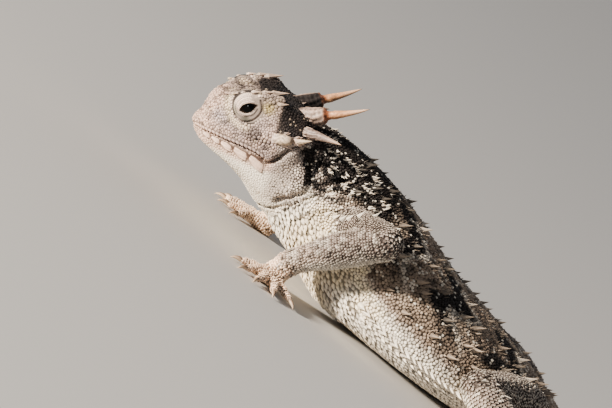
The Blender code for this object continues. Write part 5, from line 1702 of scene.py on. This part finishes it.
kinds = sheet_kinds[sheet_index[knob_marks]]
for name, slot, chosen in (
    ("scales_head", "skin", (kinds == "head") & (level[:, 2] > -0.8)),
    ("scales_throat", "throat_skin", (kinds == "head") & (level[:, 2] <= -0.8)),
    ("scales_neck", "skin", (kinds == "trunk") & (knob_places[:, 0] < 34)),
    ("scales_back", "skin", (kinds == "trunk") & (knob_places[:, 0] >= 34)),
):
    group = Growths(name, slot)
    group.add(knob_points[chosen], KNOB_FACES, knob_colours[chosen],
              roots_of(knob_places[chosen], knob_marks[chosen]), KNOB_PATCH)
    grown(group, scaly)
paw_tiles = (tile_kinds == "hand") | (tile_kinds == "foot")
for name, chosen in (
    ("tiles_chest", on_trunk & (tile_places[:, 0] < 40)),
    ("tiles_belly_and_tail", on_trunk & (tile_places[:, 0] >= 40)),
    ("tiles_arms", tile_kinds == "arm"),
    ("tiles_legs", tile_kinds == "leg"),
    ("tiles_paws", paw_tiles),
):
    group = Growths(name, "skin")
    group.add(tile_points[chosen], KNOB_FACES, tile_colours[chosen],
              roots_of(tile_places[chosen], tile_marks[chosen]), KNOB_PATCH)
    grown(group, scaly)
for group in spines.values():
    grown(group, scaly)
grown(lips, scaly)

# Stage. A plain pale floor under soft studio light. The camera looks at the left side of the
# animal from the angle of the picture, and is rolled with it as the animal is set on the floor.
bpy.ops.object.select_all(action="DESELECT")
bpy.ops.mesh.primitive_plane_add(size=6)
floor = bpy.context.object
floor.name = "floor"
paper = bpy.data.materials.new("pale paper")
paper.use_nodes = True
paper.node_tree.nodes["Principled BSDF"].inputs["Base Color"].default_value = (0.62, 0.6, 0.57, 1)
paper.node_tree.nodes["Principled BSDF"].inputs["Roughness"].default_value = 0.9
floor.data.materials.append(paper)

PIXELS_PER_METRE = 6500
ROLL, RISE, FIELD = math.radians(38), math.radians(12), math.radians(7.7)
right = Vector((math.cos(ROLL), 0, math.sin(ROLL)))
across = Vector((-math.sin(ROLL), 0, math.cos(ROLL)))
backward = Vector((0, -1, 0)) * math.cos(RISE) + across * math.sin(RISE)
up = backward.cross(right)
anchor = Vector(to_row(np.array((14.0, 0, 21.5))))
target = anchor + right * ((306 - 310) / PIXELS_PER_METRE) - up * ((204 - 118) / PIXELS_PER_METRE)
camera = bpy.data.objects.new("camera", bpy.data.cameras.new("camera"))
bpy.context.collection.objects.link(camera)
bpy.context.scene.camera = camera
camera.data.angle = FIELD
camera.data.clip_start = 0.01
camera.data.clip_end = 20
camera.location = target + backward * (306 / math.tan(FIELD / 2) / PIXELS_PER_METRE)
camera.rotation_euler = Matrix((right, up, backward)).transposed().to_euler()


def soft_light(name, way, distance, size, power, colour):
    """A square light that shines at the animal from the given direction."""
    lamp = bpy.data.objects.new(name, bpy.data.lights.new(name, "AREA"))
    bpy.context.collection.objects.link(lamp)
    way = Vector(way).normalized()
    lamp.location = target + way * distance
    lamp.rotation_euler = way.to_track_quat("Z", "Y").to_euler()
    lamp.data.size = size
    lamp.data.energy = power
    lamp.data.color = colour


soft_light("key", (-0.9, -0.42, 0.2), 1.2, 0.12, 42, (1.0, 0.92, 0.82))
soft_light("fill", (0.2, -0.9, 0.9), 1.6, 1.2, 1.3, (0.86, 0.92, 1.0))
soft_light("far fill", (0.7, 0.9, 0.7), 1.6, 1.2, 4.0, (1.0, 0.97, 0.94))
soft_light("glint", (0.071, -1.02, 0.072), 1.2, 0.1, 1.5, (1.0, 1.0, 1.0))
world = bpy.data.worlds.new("studio")
bpy.context.scene.world = world
world.use_nodes = True
world.node_tree.nodes["Background"].inputs["Color"].default_value = (0.85, 0.9, 1.0, 1)
world.node_tree.nodes["Background"].inputs["Strength"].default_value = 0.2

bpy.context.scene.view_settings.look = "AgX - Medium High Contrast"
